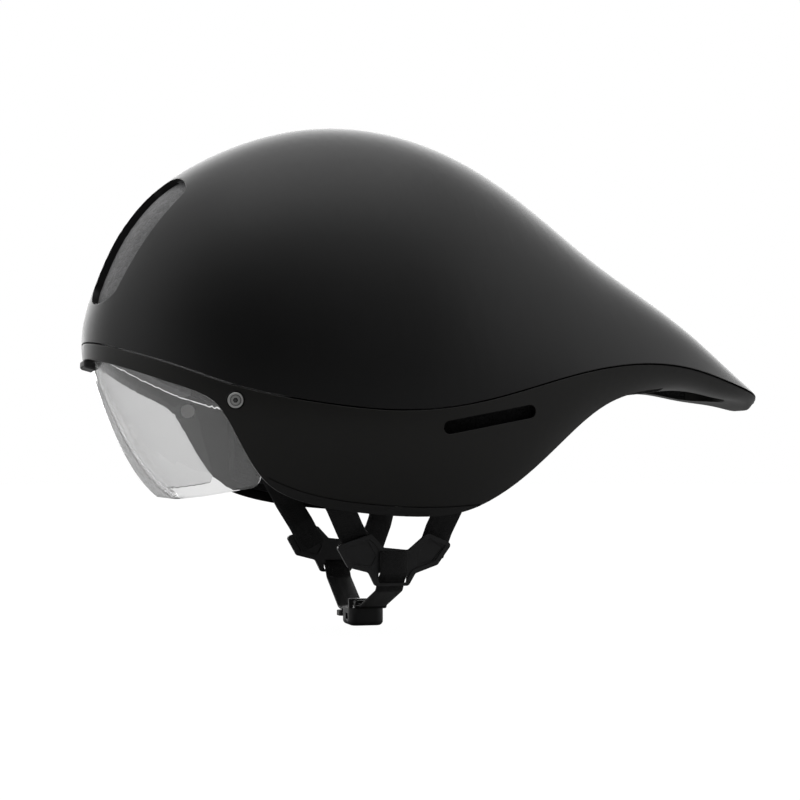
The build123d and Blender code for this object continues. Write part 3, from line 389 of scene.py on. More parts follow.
def satin_steel(colour):
    """Stainless steel, bead blasted: pale grey and finely gritty, with painted shade that darkens it down in
    the recesses.
    """
    material, tree = new_material("blasted_stainless_steel")
    place = add_node(tree, "ShaderNodeTexCoord").outputs["Object"]
    # The grit is drawn a few times coarser than the real one, so that it shows
    grit = add_node(tree, "ShaderNodeTexNoise", {"Vector": place, "Scale": 1 / (0.25 * MM), "Detail": 3.0})
    edge = add_node(tree, "ShaderNodeBevel", {"Radius": 0.15 * MM}, samples=4)
    bump = add_node(
        tree,
        "ShaderNodeBump",
        {"Height": grit.outputs["Fac"], "Strength": 0.2, "Distance": 0.02 * MM, "Normal": edge.outputs[0]},
    )
    # Painted shade: ambient occlusion darkens the base colour towards near black down in the recesses
    corner = add_node(
        tree, "ShaderNodeAmbientOcclusion", {"Color": rgba(colour), "Distance": 3 * MM}, samples=8
    )
    painted_recess_shade = add_node(tree, "ShaderNodeMath", {0: corner.outputs["AO"], 1: 3.0}, operation="POWER")
    tone = add_node(
        tree,
        "ShaderNodeMixRGB",
        {"Fac": painted_recess_shade.outputs[0], "Color1": (0.01, 0.01, 0.01, 1.0), "Color2": rgba(colour)},
    )
    shader = add_node(
        tree,
        "ShaderNodeBsdfPrincipled",
        {
            "Base Color": tone.outputs["Color"],
            "Metallic": 1.0,
            "Roughness": 0.38,
            "Normal": bump.outputs["Normal"],
        },
    )
    close_material(tree, shader.outputs[0])
    return material


def brushed_knit(colour, pitch):
    """Warp-knit polyester, brushed: soft black with a fuzzy sheen and small even loops."""
    material, tree = new_material("brushed_warp_knit")
    place = add_node(tree, "ShaderNodeTexCoord").outputs["Object"]
    fuzz = add_node(tree, "ShaderNodeTexNoise", {"Vector": place, "Scale": 1 / pitch, "Detail": 4.0})
    loops = add_node(tree, "ShaderNodeTexVoronoi", {"Vector": place, "Scale": 1 / pitch, "Randomness": 0.35})
    height = add_node(
        tree,
        "ShaderNodeMath",
        {0: loops.outputs["Distance"], 1: fuzz.outputs["Fac"]},
        operation="MULTIPLY",
    )
    tone = add_node(
        tree,
        "ShaderNodeMixRGB",
        {"Fac": fuzz.outputs["Fac"], "Color1": rgba(colour), "Color2": rgba([c * 2.2 for c in colour])},
    )
    bump = add_node(
        tree, "ShaderNodeBump", {"Height": height.outputs[0], "Strength": 0.6, "Distance": 0.25 * MM}
    )
    shader = add_node(
        tree,
        "ShaderNodeBsdfPrincipled",
        {
            "Base Color": tone.outputs["Color"],
            "Roughness": 0.9,
            "Sheen Weight": 0.35,
            "Sheen Roughness": 0.5,
            "Normal": bump.outputs["Normal"],
        },
    )
    close_material(tree, shader.outputs[0])
    return material


def woven_nylon(colour, width, pitch):
    """Flat nylon webbing: herringbone ribs between two plain selvedges, near black, with little sheen."""
    material, tree = new_material("woven_nylon_webbing")
    along = add_node(tree, "ShaderNodeAttribute", attribute_name="along").outputs["Fac"]
    across = add_node(tree, "ShaderNodeAttribute", attribute_name="across").outputs["Fac"]
    zigzag = add_node(tree, "ShaderNodeMath", {0: across, 1: width / 8}, operation="PINGPONG")
    lane = add_node(tree, "ShaderNodeMath", {0: along, 1: zigzag.outputs[0]}, operation="ADD")
    turns = add_node(tree, "ShaderNodeMath", {0: lane.outputs[0], 1: 2 * pi / pitch}, operation="MULTIPLY")
    ribs = add_node(tree, "ShaderNodeMath", {0: turns.outputs[0]}, operation="SINE")
    reach = add_node(tree, "ShaderNodeMath", {0: across}, operation="ABSOLUTE")
    inside = add_node(
        tree, "ShaderNodeMath", {0: reach.outputs[0], 1: 0.43 * width}, operation="LESS_THAN"
    )
    height = add_node(
        tree, "ShaderNodeMath", {0: ribs.outputs[0], 1: inside.outputs[0]}, operation="MULTIPLY"
    )
    # Painted shade and painted light: the colour darkens in the ribs' valleys and lightens on their crests,
    # in step with the bump
    tone = add_node(
        tree,
        "ShaderNodeMapRange",
        {"Value": height.outputs[0], "From Min": -1.0, "To Min": 0.7, "To Max": 1.3},
    )
    shade = add_node(
        tree, "ShaderNodeHueSaturation", {"Color": rgba(colour), "Value": tone.outputs["Result"]}
    )
    bump = add_node(
        tree, "ShaderNodeBump", {"Height": height.outputs[0], "Strength": 0.5, "Distance": 0.12 * MM}
    )
    shader = add_node(
        tree,
        "ShaderNodeBsdfPrincipled",
        {
            "Base Color": shade.outputs["Color"],
            "Roughness": 0.68,
            "IOR": 1.45,
            "Sheen Weight": 0.08,
            "Normal": bump.outputs["Normal"],
        },
    )
    close_material(tree, shader.outputs[0])
    return material


# Meshes and pieces
SIDES = ((1, "left"), (-1, "right"))
SHARP_ANGLE = radians(35)


def finish_node(name, material):
    """Give a carried-over node its material."""
    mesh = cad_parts[name].data
    mesh.materials.clear()
    mesh.materials.append(material)


def merged_mesh(name):
    """A bmesh copy of a node's mesh with its doubles merged, smooth but for its sharp edges."""
    form = bmesh.new()
    form.from_mesh(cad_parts[name].data)
    bmesh.ops.remove_doubles(form, verts=form.verts, dist=0.001 * MM)
    shade_by_angle(form, SHARP_ANGLE)
    return form


def new_object(name, form, material):
    """Turn a bmesh into an object at the origin with one material."""
    mesh = bpy.data.meshes.new(name)
    form.to_mesh(mesh)
    form.free()
    mesh.materials.append(material)
    piece = bpy.data.objects.new(name, mesh)
    bpy.context.scene.collection.objects.link(piece)
    return piece


def seat_piece(piece, body, slot, *nodes):
    """Let a piece ride on its body, in place of the nodes that it stands for."""
    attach(piece, body)
    if nodes:
        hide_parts(*nodes)


# Studio
def build_studio(settings):
    """Camera, floor, softbox and the studio's walls."""
    scene = bpy.context.scene
    scene.view_settings.view_transform = "Standard"
    azimuth, elevation = settings.camera_azimuth, settings.camera_elevation
    towards = Vector((sin(azimuth) * cos(elevation), -cos(azimuth) * cos(elevation), sin(elevation)))
    camera = bpy.data.objects.new("studio_camera", bpy.data.cameras.new("studio_camera"))
    scene.collection.objects.link(camera)
    camera.data.lens = settings.camera_lens
    camera.data.clip_start = 50 * MM
    camera.location = Vector(settings.camera_target) + towards * settings.camera_distance
    camera.rotation_mode = "QUATERNION"
    camera.rotation_quaternion = (-towards).to_track_quat("-Z", "Y")
    scene.camera = camera

    form = bmesh.new()
    bmesh.ops.create_circle(form, cap_ends=True, segments=96, radius=settings.floor_reach)
    level = CAD_LOW.z - settings.floor_gap
    bmesh.ops.translate(form, vec=(0, 0, level), verts=form.verts)
    floor = new_object("studio_floor", form, floor_material(settings))

    lamp = bpy.data.lights.new("overhead_softbox", "AREA")
    lamp.shape = "RECTANGLE"
    lamp.size = settings.softbox_width
    lamp.size_y = settings.softbox_depth
    lamp.energy = settings.softbox_power
    softbox = bpy.data.objects.new("overhead_softbox", lamp)
    scene.collection.objects.link(softbox)
    softbox.location = (0, settings.softbox_back, settings.softbox_height)
    build_walls(settings, towards)


def seen_directly(tree):
    """1 for what the camera sees directly or through the lens, and 0 for what other rays meet."""
    path = add_node(tree, "ShaderNodeLightPath")
    seen = add_node(
        tree,
        "ShaderNodeMath",
        {0: path.outputs["Is Camera Ray"], 1: path.outputs["Is Transmission Ray"]},
        operation="MAXIMUM",
    )
    return seen.outputs[0]


def floor_material(settings):
    """Painted floor: plain white to the camera, but for a faint part that keeps the shadow."""
    material, tree = new_material("matt_floor_paint")
    paint = add_node(tree, "ShaderNodeBsdfDiffuse", {"Color": rgba(settings.floor_colour)})
    white = add_node(tree, "ShaderNodeEmission", {"Color": (1, 1, 1, 1), "Strength": settings.floor_white})
    share = add_node(
        tree, "ShaderNodeMath", {0: seen_directly(tree), 1: settings.floor_seen}, operation="MULTIPLY"
    )
    shader = add_node(
        tree, "ShaderNodeMixShader", {0: share.outputs[0], 1: paint.outputs[0], 2: white.outputs[0]}
    )
    close_material(tree, shader.outputs[0])
    return material


def build_walls(settings, towards):
    """White walls and ceiling that fall off towards one dark side, and a plain white backdrop."""
    world = bpy.data.worlds.new("studio_walls")
    bpy.context.scene.world = world
    world.use_nodes = True
    tree = world.node_tree
    tree.nodes.clear()
    place = add_node(tree, "ShaderNodeTexCoord").outputs["Generated"]
    facing = add_node(
        tree, "ShaderNodeVectorMath", {0: place, 1: tuple(towards)}, operation="DOT_PRODUCT"
    )
    turned = add_node(
        tree,
        "ShaderNodeMapRange",
        {"Value": facing.outputs["Value"], "From Min": 1.0, "From Max": settings.wall_edge},
    )
    fall = add_node(
        tree, "ShaderNodeMath", {0: turned.outputs["Result"], 1: settings.wall_fall}, operation="POWER"
    )
    behind = add_node(
        tree,
        "ShaderNodeMapRange",
        {
            "Value": facing.outputs["Value"],
            "From Min": settings.backdrop_edge,
            "From Max": -1.0,
            "To Max": settings.studio_backdrop,
        },
        interpolation_type="SMOOTHSTEP",
    )
    height = add_node(tree, "ShaderNodeSeparateXYZ", {0: place}).outputs["Z"]
    above = add_node(tree, "ShaderNodeMath", {0: height, 1: 0.0}, operation="MAXIMUM")
    wall = add_node(
        tree,
        "ShaderNodeMath",
        {0: above.outputs[0], 1: settings.studio_ceiling, 2: settings.studio_glow},
        operation="MULTIPLY_ADD",
    )
    base = add_node(
        tree,
        "ShaderNodeMath",
        {0: fall.outputs[0], 1: wall.outputs[0], 2: settings.studio_dark},
        operation="MULTIPLY_ADD",
    )
    glow = add_node(
        tree, "ShaderNodeMath", {0: base.outputs[0], 1: behind.outputs["Result"]}, operation="ADD"
    )
    studio = add_node(tree, "ShaderNodeBackground", {"Strength": glow.outputs[0]})
    backdrop = add_node(tree, "ShaderNodeBackground", {"Color": (1, 1, 1, 1), "Strength": 1.0})
    shader = add_node(
        tree, "ShaderNodeMixShader", {0: seen_directly(tree), 1: studio.outputs[0], 2: backdrop.outputs[0]}
    )
    add_node(tree, "ShaderNodeOutputWorld", {"Surface": shader.outputs[0]})


# Shells, foam and visor
def cut_away(form, rooms, material, filler=None):
    """The form with a closed filler joined to it and closed rooms cut out of both."""
    source = new_object("uncut", form, material)
    steps = [("UNION", filler)] if filler else []
    steps += [("DIFFERENCE", room) for room in rooms]
    tools = []
    for operation, tool in steps:
        tools.append(new_object("tool", tool, material))
        step = source.modifiers.new("step", "BOOLEAN")
        step.operation = operation
        step.object = tools[-1]
        step.solver = "EXACT"
    result = bmesh.new()
    result.from_object(source, bpy.context.evaluated_depsgraph_get())
    for spare in (source, *tools):
        bpy.data.objects.remove(spare)
    shade_by_angle(result, SHARP_ANGLE)
    return result


def shade_by_angle(form, angle):
    """Smooth faces, with sharp edges where they turn by more than the angle."""
    for face in form.faces:
        face.smooth = True
    for edge in form.edges:
        edge.smooth = len(edge.link_faces) == 2 and edge.calc_face_angle() < angle


class IntakeShape:
    """The crown intakes' outline on their sloping plane and the shell's arch over it."""

    origin = Vector((0, -100 * MM, 84 * MM))
    lean = radians(31)
    turn = Matrix(((1, 0, 0), (0, sin(lean), -cos(lean)), (0, cos(lean), sin(lean))))
    # The whole shell is sampled this far from the middle, beside the moulded hole
    samples = (24.5 * MM, 34 * MM, 44 * MM)
    end_margin = 2 * MM
    # The outer edge leans out towards the crown, and each end rounds off over this share of half the length
    outward = 1 * MM
    round_share = 0.28
    least_width = 0.15
    # Rooms reach this many shell thicknesses over the face, so that they cut right through it
    overshoot = 4
    # Rays that look for the shell start this far over the plane
    ray_height = 100 * MM

    def __init__(self, settings):
        self.settings = settings
        form = merged_mesh("upper_shell")
        self.tree = BVHTree.FromBMesh(form)
        form.free()
        self.curves = {}
        self.ends = [end * (settings.hole_length / 2 + self.end_margin) for end in (-1, 1)]
        self.errors = [self.shell_height(0, along) - self.arch(0, along) for along in self.ends]

    def shell_height(self, across, along):
        """Height of the shell's outer face over the plane, where the shell is whole."""
        start = self.origin + self.turn @ Vector((across, along, self.ray_height))
        hit = self.tree.ray_cast(start, self.turn @ Vector((0, 0, -1)))[0]
        return (self.turn.transposed() @ (hit - self.origin)).z

    def arch(self, across, along):
        """Height of the arch through three samples beside the moulded hole."""
        key = round(along, 6)
        if key not in self.curves:
            self.curves[key] = [self.shell_height(sample, along) for sample in self.samples]
        total = 0.0
        for sample, height in zip(self.samples, self.curves[key]):
            for other in self.samples:
                if other != sample:
                    height *= (across**2 - other**2) / (sample**2 - other**2)
            total += height
        return total

    def face(self, across, along):
        """Height of the outer face, with the arch eased to the shell at both ends of the hole."""
        share = (along - self.ends[0]) / (self.ends[1] - self.ends[0])
        error = self.errors[0] + (self.errors[1] - self.errors[0]) * min(1, max(0, share))
        return self.arch(across, along) + error * max(0, 1 - (across / self.samples[0]) ** 2)

    def bounds(self, share, side, grow):
        """Inner and outer edge of an intake, or of the moulded hole, at a share of its length."""
        settings = self.settings
        if side == 0:
            width = settings.hole_foot + (settings.hole_top - settings.hole_foot) * (share + 1) / 2
            radius = settings.hole_corner + settings.hole_gain * share
            short = max(0, radius - settings.hole_length / 2 * (1 - abs(share)))
            half = width / 2 - radius + sqrt(max(0, radius**2 - short**2)) + grow
            return -half, half
        outer = settings.reach - settings.narrowing * share**2 + self.outward * share
        middle, half = (settings.spine + outer) / 2, (outer - settings.spine) / 2 + grow
        turn_in = max(0, abs(share) - 1 + self.round_share) / self.round_share
        half *= max(sqrt(max(0, 1 - turn_in**2)), self.least_width)
        return side * (middle - half), side * (middle + half)

    def form(self, side, grow, bottom, top, capped):
        """The room of one intake between two depths under the face, as a closed or an open form."""
        form = bmesh.new()
        bmesh.ops.create_grid(form, x_segments=20, y_segments=60, size=1)
        if capped:
            made = bmesh.ops.extrude_face_region(form, geom=[*form.faces, *form.edges, *form.verts])["geom"]
        else:
            rim = [edge for edge in form.edges if edge.is_boundary]
            made = bmesh.ops.extrude_edge_only(form, edges=rim)["geom"]
        upper = {part for part in made if isinstance(part, bmesh.types.BMVert)}
        length = self.settings.length if side else self.settings.hole_length
        for vert in form.verts:
            inner, outer = self.bounds(vert.co.y, side, grow)
            across = inner + (outer - inner) * (vert.co.x + 1) / 2
            along = (self.settings.rise if side else 0) + vert.co.y * (length / 2 + grow)
            under = top if vert in upper else bottom
            spot = Vector((across, along, self.face(across, along) - under))
            vert.co = self.origin + self.turn @ spot
        form.normal_update()
        bmesh.ops.recalc_face_normals(form, faces=form.faces)
        if capped and form.calc_volume(signed=True) < 0:
            bmesh.ops.reverse_faces(form, faces=form.faces)
        return form

    def rooms(self, grow, bottom):
        """Closed rooms of both intakes, open to the outside."""
        top = -self.overshoot * self.settings.cover
        return [self.form(side, grow, bottom, top, True) for side in (1, -1)]


def build_shells(settings, intake):
    """Satin shells, the upper one opened for the intakes, and the rubber trim on the side panels."""
    shape = IntakeShape(intake)
    gloss = satin_abs("satin_abs_upper", settings.upper_colour, 0.4, settings.grain_size)
    filler = shape.form(0, intake.lap, intake.depth, 0, True)
    rooms = shape.rooms(0, intake.depth + intake.cover)
    form = cut_away(merged_mesh("upper_shell"), rooms, gloss, filler)
    seat_piece(new_object("upper_shell_cover", form, gloss), "helmet", "shell", "upper_shell")
    finish_node("lower_shell", satin_abs("satin_abs_lower", settings.lower_colour, 0.42, settings.grain_size))
    finish_node("edge_trim", trim_rubber(settings.trim_colour))


def build_foam(settings, intake):
    """Bead foam of the crown and skirt, and the nose block with the intakes' floors."""
    liner = bead_foam("expanded_polystyrene_liner", settings.foam_colour, settings.bead_size, 0.55)
    for name in ("crown_foam", "skirt_foam"):
        finish_node(name, liner)
    foam = bead_foam("expanded_polystyrene_nose", settings.nose_colour, settings.bead_size, 0.2)
    shape = IntakeShape(intake)
    wall = intake.floor_wall
    inset = 0.2 * wall
    # The block is cut back to within the floor's wall, so that the floor hides the cut
    form = cut_away(merged_mesh("nose_foam"), shape.rooms(wall / 2, intake.depth + wall / 2 + inset), foam)
    seat_piece(new_object("nose_foam_block", form, foam), "helmet", "foam", "nose_foam")
    for side, name in SIDES:
        form = shape.form(side, inset, intake.depth, intake.cover + inset / 2, False)
        if sum(face.normal.z for face in form.faces) < 0:
            bmesh.ops.reverse_faces(form, faces=form.faces)
        shade_by_angle(form, radians(50))
        floor = new_object(f"nose_foam_floor_{name}", form, foam)
        thick = floor.modifiers.new("wall", "SOLIDIFY")
        thick.thickness = wall
        thick.offset = -1
        seat_piece(floor, "helmet", "foam")


# The grip tab keeps this share of its solid's depth at its root, and loses this share more by its tip
TAB_DEPTH_SHARE = 0.8
TAB_TAPER_SHARE = 0.25


def build_visor(settings):
    """Clear lens, its grip tab and catch, and its steel screws and nuts."""
    finish_node("visor_lens", clear_polycarbonate(settings.lens_colour))
    tab = moulded_plastic("moulded_nylon_tab", settings.plastic_colour, 0.5, 0.4 * MM)
    finish_node("visor_catch", tab)
    form = merged_mesh("visor_tab")
    low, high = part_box("visor_tab")
    for vert in form.verts:
        share = (high.y - vert.co.y) / (high.y - low.y)
        vert.co.z = high.z - (high.z - vert.co.z) * (TAB_DEPTH_SHARE - TAB_TAPER_SHARE * share)
        vert.co.y += share * settings.tab_draw
    seat_piece(new_object("visor_tab_grip", form, tab), "visor", "tab_plastic", "visor_tab")
    steel = satin_steel(settings.steel_colour)
    for name in ("visor_screws", "visor_nuts", "temple_pins"):
        finish_node(name, steel)


# Comfort pads, each with the two axes that it spreads along
PAD_AXES = {
    "brow_pad": (0, 2),
    "crown_pad": (0, 1),
    "side_pad_left": (1, 2),
    "side_pad_right": (1, 2),
    "nape_pad": (0, 2),
}
NAPE_CORNER = 6 * MM
# A pad is shaped only where its face turns to the head by more than this cosine
PAD_FACING = 0.35


def edge_depth(point, middle, half, corner):
    """How far a point lies inside a rounded rectangle."""
    out = [abs(point[axis] - middle[axis]) - (half[axis] - corner) for axis in (0, 1)]
    return corner - hypot(max(out[0], 0), max(out[1], 0)) - min(max(out), 0)


def build_pads(finish, soft):
    """Crowned foam pads in brushed knit, each with a sewn border and cross channels."""
    knit = brushed_knit(finish.fabric_colour, finish.knit_pitch)
    for name, axes in PAD_AXES.items():
        low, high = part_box(name)
        middle = [(low[axis] + high[axis]) / 2 for axis in axes]
        half = [(high[axis] - low[axis]) / 2 for axis in axes]
        long_axis = 0 if half[0] > half[1] else 1
        channel = half[long_axis] * 2 / round(half[long_axis] * 2 / soft.channel_pitch)
        corner = NAPE_CORNER if name == "nape_pad" else soft.pad_corner
        source = new_object(f"{name}_source", merged_mesh(name), knit)
        remesh = source.modifiers.new("voxels", "REMESH")
        remesh.mode = "VOXEL"
        remesh.voxel_size = soft.pad_voxel
        form = bmesh.new()
        form.from_object(source, bpy.context.evaluated_depsgraph_get())
        bpy.data.objects.remove(source)
        bmesh.ops.smooth_vert(
            form, verts=form.verts, factor=0.5, use_axis_x=True, use_axis_y=True, use_axis_z=True
        )
        form.normal_update()
        centre = Vector((0, 0, middle[1] if name == "nape_pad" else soft.head_middle))
        for vert in form.verts:
            inward = (centre - vert.co).normalized()
            if vert.normal.dot(inward) < PAD_FACING:
                continue
            flat = [vert.co[axis] for axis in axes]
            depth = edge_depth(flat, middle, half, corner)
            swell = soft.pad_crown * (1 - exp(-max(depth, 0) / soft.pad_swell))
            seam = soft.seam_depth * exp(-(((depth - soft.pad_seam) / soft.seam_width) ** 2))
            across = (flat[long_axis] - middle[long_axis]) / channel
            off = (across - round(across)) * channel
            groove = soft.channel_depth * exp(-((off / soft.channel_width) ** 2))
            vert.co += inward * (swell - seam - (groove if depth > soft.pad_seam else 0))
        for face in form.faces:
            face.smooth = True
        pad = new_object(f"{name}_cover", form, knit)
        seat_piece(pad, "helmet", "pad_fabric", name)


# Fit system at the nape
def build_fit_system(settings):
    """Cradle, gear case, racks, dial and the head bands that the racks draw in."""
    nylon = moulded_plastic("moulded_nylon_fit", settings.plastic_colour, 0.55, 0.5 * MM)
    for name in ("nape_cradle", "gear_case", "pinion", "rack_left", "rack_right", "strap_anchors"):
        finish_node(name, nylon)
    soft_touch = moulded_plastic("overmoulded_rubber", settings.trim_colour, 0.7, 0.6 * MM)
    for name in ("dial", "strap_keeper"):
        finish_node(name, soft_touch)
    for side, name in SIDES:
        band = new_object(f"head_band_{name}", merged_mesh(f"band_{name}"), nylon)
        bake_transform(band)
        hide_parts(f"band_{name}")


# Webbing
BEND_STEPS = 6
# A bend takes at most this share of the shorter run beside it
BEND_SHARE = 0.48
# The webbing's edges are rounded off by this share of its thickness
WEB_EDGE_SHARE = 0.35


def rounded_route(corners, radii):
    """Points along straight runs with each inner corner rounded to about its radius."""
    route = [corners[0]]
    for before, corner, after, radius in zip(corners, corners[1:], corners[2:], radii):
        into = (corner - before).normalized()
        out = (after - corner).normalized()
        shorter = min((corner - before).length, (after - corner).length)
        cut = min(radius * tan(into.angle(out) / 2), BEND_SHARE * shorter)
        start, end = corner - into * cut, corner + out * cut
        for step in range(BEND_STEPS + 1):
            share = step / BEND_STEPS
            route.append(start.lerp(corner, share).lerp(corner.lerp(end, share), share))
    return [*route, corners[-1]]


def divided_route(route, longest):
    """The route with its long runs divided evenly."""
    points = [route[0]]
    for before, after in zip(route, route[1:]):
        parts = max(1, round((after - before).length / longest))
        points += [before.lerp(after, part / parts) for part in range(1, parts + 1)]
    return points


def webbing_form(route, across, width, wall):
    """A flat strap along a route: its rounded section is extruded from point to point."""
    form = bmesh.new()
    along_layer = form.verts.layers.float.new("along")
    across_layer = form.verts.layers.float.new("across")
    edge = wall * WEB_EDGE_SHARE
    outline = (
        (-width / 2, -wall / 2 + edge),
        (-width / 2 + edge, -wall / 2),
        (-width / 6, -wall / 2),
        (width / 6, -wall / 2),
        (width / 2 - edge, -wall / 2),
        (width / 2, -wall / 2 + edge),
        (width / 2, wall / 2 - edge),
        (width / 2 - edge, wall / 2),
        (width / 6, wall / 2),
        (-width / 6, wall / 2),
        (-width / 2 + edge, wall / 2),
        (-width / 2, wall / 2 - edge),
    )
    turns = []
    for place, point in enumerate(route):
        ahead = route[min(place + 1, len(route) - 1)] - route[max(place - 1, 0)]
        ahead.normalize()
        normal = ahead.cross(across).normalized()
        turn = Matrix((across, normal, ahead)).transposed().to_4x4()
        turns.append(Matrix.Translation(point) @ turn)
    ring = [form.verts.new(turns[0] @ Vector((*spot, 0))) for spot in outline]
    for vert, spot in zip(ring, outline):
        vert[across_layer] = spot[0]
    cap = form.faces.new(ring)
    length = 0.0
    for place in range(1, len(route)):
        length += (route[place] - route[place - 1]).length
        made = bmesh.ops.extrude_face_region(form, geom=[cap, *cap.edges, *cap.verts])["geom"]
        moved = [part for part in made if isinstance(part, bmesh.types.BMVert)]
        cap = next(part for part in made if isinstance(part, bmesh.types.BMFace))
        step = turns[place] @ turns[place - 1].inverted()
        bmesh.ops.transform(form, matrix=step, verts=moved)
        for vert in moved:
            vert[along_layer] = length
    bmesh.ops.recalc_face_normals(form, faces=form.faces)
    shade_by_angle(form, radians(60))
    return form


# The webbing follows the routes of its solids
WEB_STEP = 4 * MM
WEB_BEND = 5 * MM
ANCHOR_X = 70.4 * MM
DIVIDER_X = 64.15 * MM
DIVIDER_LEVEL = -78 * MM
# Each upper strap bends in a plane: how far back that plane stands, its lean, and how far the strap runs
# up it and down it
UPPER_STRAPS = {
    "front": (9 * MM, radians(28.5), 46 * MM, -9 * MM),
    "rear": (52 * MM, radians(-20), 42 * MM, -7 * MM),
}
# Between these heights in its plane, an upper strap draws in from its anchor to the divider
DRAW_TOP, DRAW_FOOT = 22 * MM, 7 * MM
# A lower strap drops from the divider to the first height, passes two bends and turns level for the buckle
LOWER_DROP = -94.5 * MM
LOWER_BENDS = ((DIVIDER_X - 0.3 * MM, -98.3 * MM), (59.5 * MM, -104 * MM))
LEVEL_X = {"left": 25 * MM, "right": 28.15 * MM}
LOWER_RADII = (1.5 * MM, 5 * MM, 5 * MM, 10 * MM)


def strap_plane(back, lean):
    """The plane of one strap's bends: its origin, the way up along the strap and the way across it."""
    up = Vector((0, -sin(lean), cos(lean)))
    return Vector((0, back, DIVIDER_LEVEL)), up, Vector((0, -cos(lean), -sin(lean)))


def build_upper_straps(nylon, soft):
    """Front and rear strap on each side, from their anchors in the foam down to the divider."""
    for side, side_name in SIDES:
        for place_name, (back, lean, rise, tail) in UPPER_STRAPS.items():
            origin, up, across = strap_plane(back, lean)
            shape = ((ANCHOR_X, rise), (ANCHOR_X, DRAW_TOP), (DIVIDER_X, DRAW_FOOT), (DIVIDER_X, tail))
            corners = [origin + Vector((side * x, 0, 0)) + up * height for x, height in shape]
            route = divided_route(rounded_route(corners, (WEB_BEND, WEB_BEND)), WEB_STEP)
            name = f"strap_{place_name}_{side_name}"
            form = webbing_form(route, across, soft.web_width, soft.web_wall)
            seat_piece(new_object(f"{name}_webbing", form, nylon), "helmet", "webbing", name)


def build_lower_straps(nylon, soft):
    """Lower strap on each side, down to the buckle; the right one bends after the buckle's tongue."""
    for side, side_name in SIDES:
        name = f"strap_lower_{side_name}"
        low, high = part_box(name)
        middle = (low.y + high.y) / 2
        level = low.z + soft.web_wall / 2
        lower_x = max(abs(low.x), abs(high.x)) - soft.web_wall / 2
        end_x = min(abs(low.x), abs(high.x)) if side < 0 else low.x
        shape = (
            (lower_x, high.z),
            (lower_x, LOWER_DROP),
            *LOWER_BENDS,
            (LEVEL_X[side_name], level),
            (end_x, level),
        )
        corners = [Vector((side * x, middle, height)) for x, height in shape]
        route = divided_route(rounded_route(corners, LOWER_RADII), WEB_STEP)
        form = webbing_form(route, Vector((0, 1, 0)), soft.web_width, soft.web_wall)
        strap = new_object(f"{name}_webbing", form, nylon)
        if side > 0:
            seat_piece(strap, "helmet", "webbing", name)
        else:
            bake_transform(strap)
            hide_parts(name)


def build_webbing(finish, soft):
    """Upper straps above each divider, and lower straps from there down to the buckle."""
    nylon = woven_nylon(finish.webbing_colour, soft.web_width, soft.web_pitch)
    build_upper_straps(nylon, soft)
    build_lower_straps(nylon, soft)


# Divider windows, in shares of the divider's half width and half height
WINDOWS = (
    ((-0.85, 0.42), (-0.45, 0.70), (-0.31, 0.15), (-0.40, -0.24), (-0.72, -0.10)),
    ((0.40, 0.22), (0.60, 0.72), (0.85, 0.46), (0.66, -0.06), (0.38, -0.20)),
)
# The panels are a little larger than the windows, set back from the divider's face, and thin
WINDOW_LAP = 1.12
PANEL_SETBACK = 1.3 * MM
PANEL_WALL = 1 * MM


def panel_form(side, low, high):
    """Thin closed panels over a divider's windows, set back from its outer face."""
    middle, half = (low + high) / 2, (high - low) / 2
    face = side * (max(abs(low.x), abs(high.x)) - PANEL_SETBACK)
    form = bmesh.new()
    for shares in WINDOWS:
        spots = [Vector((face, middle.y + back * half.y, middle.z + up * half.z)) for back, up in shares]
        centre = sum(spots, Vector()) / len(spots)
        form.faces.new([form.verts.new(centre + (spot - centre) * WINDOW_LAP) for spot in spots])
    made = bmesh.ops.extrude_face_region(form, geom=[*form.faces, *form.edges, *form.verts])["geom"]
    lifted = [part for part in made if isinstance(part, bmesh.types.BMVert)]
    bmesh.ops.translate(form, vec=(-side * PANEL_WALL, 0, 0), verts=lifted)
    form.normal_update()
    bmesh.ops.recalc_face_normals(form, faces=form.faces)
    return form


def build_fittings(settings):
    """Strap dividers with closed windows, and the chin buckle."""
    nylon = moulded_plastic("moulded_nylon_fittings", settings.plastic_colour, 0.42, 0.35 * MM)
    for name in ("divider_left", "divider_right", "buckle_housing", "buckle_tongue"):
        finish_node(name, nylon)
    for side, name in SIDES:
        form = panel_form(side, *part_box(f"divider_{name}"))
        seat_piece(new_object(f"divider_{name}_panels", form, nylon), "helmet", "buckle_plastic")


class HELMET_OT_studio(bpy.types.Operator):
    """Set up the camera, floor and light"""

    bl_idname = "helmet.studio"
    bl_label = "Studio"

    def execute(self, context):
        build_studio(context.scene.helmet_studio)
        return {"FINISHED"}


class HELMET_OT_shells(bpy.types.Operator):
    """Finish the shells and their rubber trim"""

    bl_idname = "helmet.shells"
    bl_label = "Shells"

    def execute(self, context):
        build_shells(context.scene.helmet_finish, context.scene.helmet_intake)
        return {"FINISHED"}


class HELMET_OT_foam(bpy.types.Operator):
    """Finish the bead foam liner"""

    bl_idname = "helmet.foam"
    bl_label = "Foam"

    def execute(self, context):
        build_foam(context.scene.helmet_finish, context.scene.helmet_intake)
        return {"FINISHED"}


class HELMET_OT_visor(bpy.types.Operator):
    """Finish the visor with its tab, catch and screws"""

    bl_idname = "helmet.visor"
    bl_label = "Visor"

    def execute(self, context):
        build_visor(context.scene.helmet_finish)
        return {"FINISHED"}


class HELMET_OT_pads(bpy.types.Operator):
    """Make the comfort pads"""

    bl_idname = "helmet.pads"
    bl_label = "Comfort pads"

    def execute(self, context):
        build_pads(context.scene.helmet_finish, context.scene.helmet_soft)
        return {"FINISHED"}


class HELMET_OT_fit_system(bpy.types.Operator):
    """Finish the nape cradle, gears and dial, and make the head bands"""

    bl_idname = "helmet.fit_system"
    bl_label = "Fit system"

    def execute(self, context):
        build_fit_system(context.scene.helmet_finish)
        return {"FINISHED"}


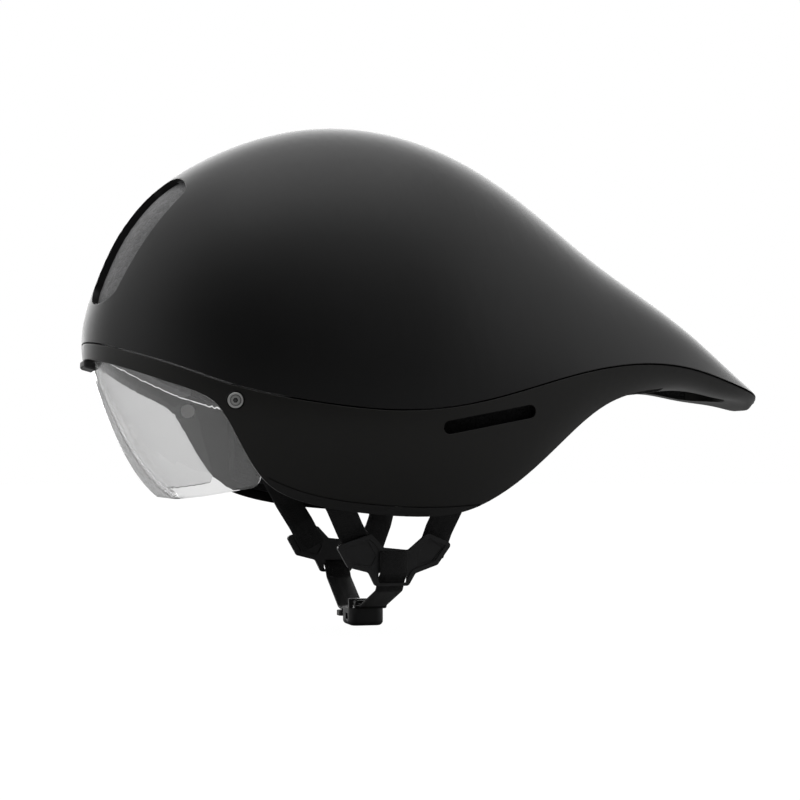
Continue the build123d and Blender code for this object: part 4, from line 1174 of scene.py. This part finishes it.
class HELMET_OT_webbing(bpy.types.Operator):
    """Make the chin straps"""

    bl_idname = "helmet.webbing"
    bl_label = "Webbing"

    def execute(self, context):
        build_webbing(context.scene.helmet_finish, context.scene.helmet_soft)
        return {"FINISHED"}


class HELMET_OT_fittings(bpy.types.Operator):
    """Finish the strap dividers and the chin buckle"""

    bl_idname = "helmet.fittings"
    bl_label = "Dividers and buckle"

    def execute(self, context):
        build_fittings(context.scene.helmet_finish)
        return {"FINISHED"}


OPERATORS = (
    HELMET_OT_studio,
    HELMET_OT_shells,
    HELMET_OT_foam,
    HELMET_OT_visor,
    HELMET_OT_pads,
    HELMET_OT_fit_system,
    HELMET_OT_webbing,
    HELMET_OT_fittings,
)


class HELMET_PT_panel(bpy.types.Panel):
    """Steps and settings of the helmet in the sidebar."""

    bl_label = "Helmet"
    bl_idname = "HELMET_PT_panel"
    bl_space_type = "VIEW_3D"
    bl_region_type = "UI"
    bl_category = "Helmet"

    def draw(self, context):
        for operator in OPERATORS:
            self.layout.operator(operator.bl_idname)
        for group in SETTINGS:
            settings = getattr(context.scene, group)
            box = self.layout.box()
            for name in settings.__annotations__:
                box.prop(settings, name)


SETTINGS = {
    "helmet_studio": HelmetStudioSettings,
    "helmet_finish": HelmetFinishSettings,
    "helmet_intake": HelmetIntakeSettings,
    "helmet_soft": HelmetSoftSettings,
}


def register():
    """Register the settings, operators and panel."""
    for kind in (*SETTINGS.values(), *OPERATORS, HELMET_PT_panel):
        bpy.utils.register_class(kind)
    for name, kind in SETTINGS.items():
        setattr(bpy.types.Scene, name, bpy.props.PointerProperty(type=kind))


def unregister():
    """Take the settings, operators and panel away again."""
    for name in SETTINGS:
        delattr(bpy.types.Scene, name)
    for kind in reversed((*SETTINGS.values(), *OPERATORS, HELMET_PT_panel)):
        bpy.utils.unregister_class(kind)


def main():
    """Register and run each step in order."""
    register()
    bpy.ops.helmet.studio()
    bpy.ops.helmet.shells()
    bpy.ops.helmet.foam()
    bpy.ops.helmet.visor()
    bpy.ops.helmet.pads()
    bpy.ops.helmet.fit_system()
    bpy.ops.helmet.webbing()
    bpy.ops.helmet.fittings()


if __name__ == "__main__":
    main()
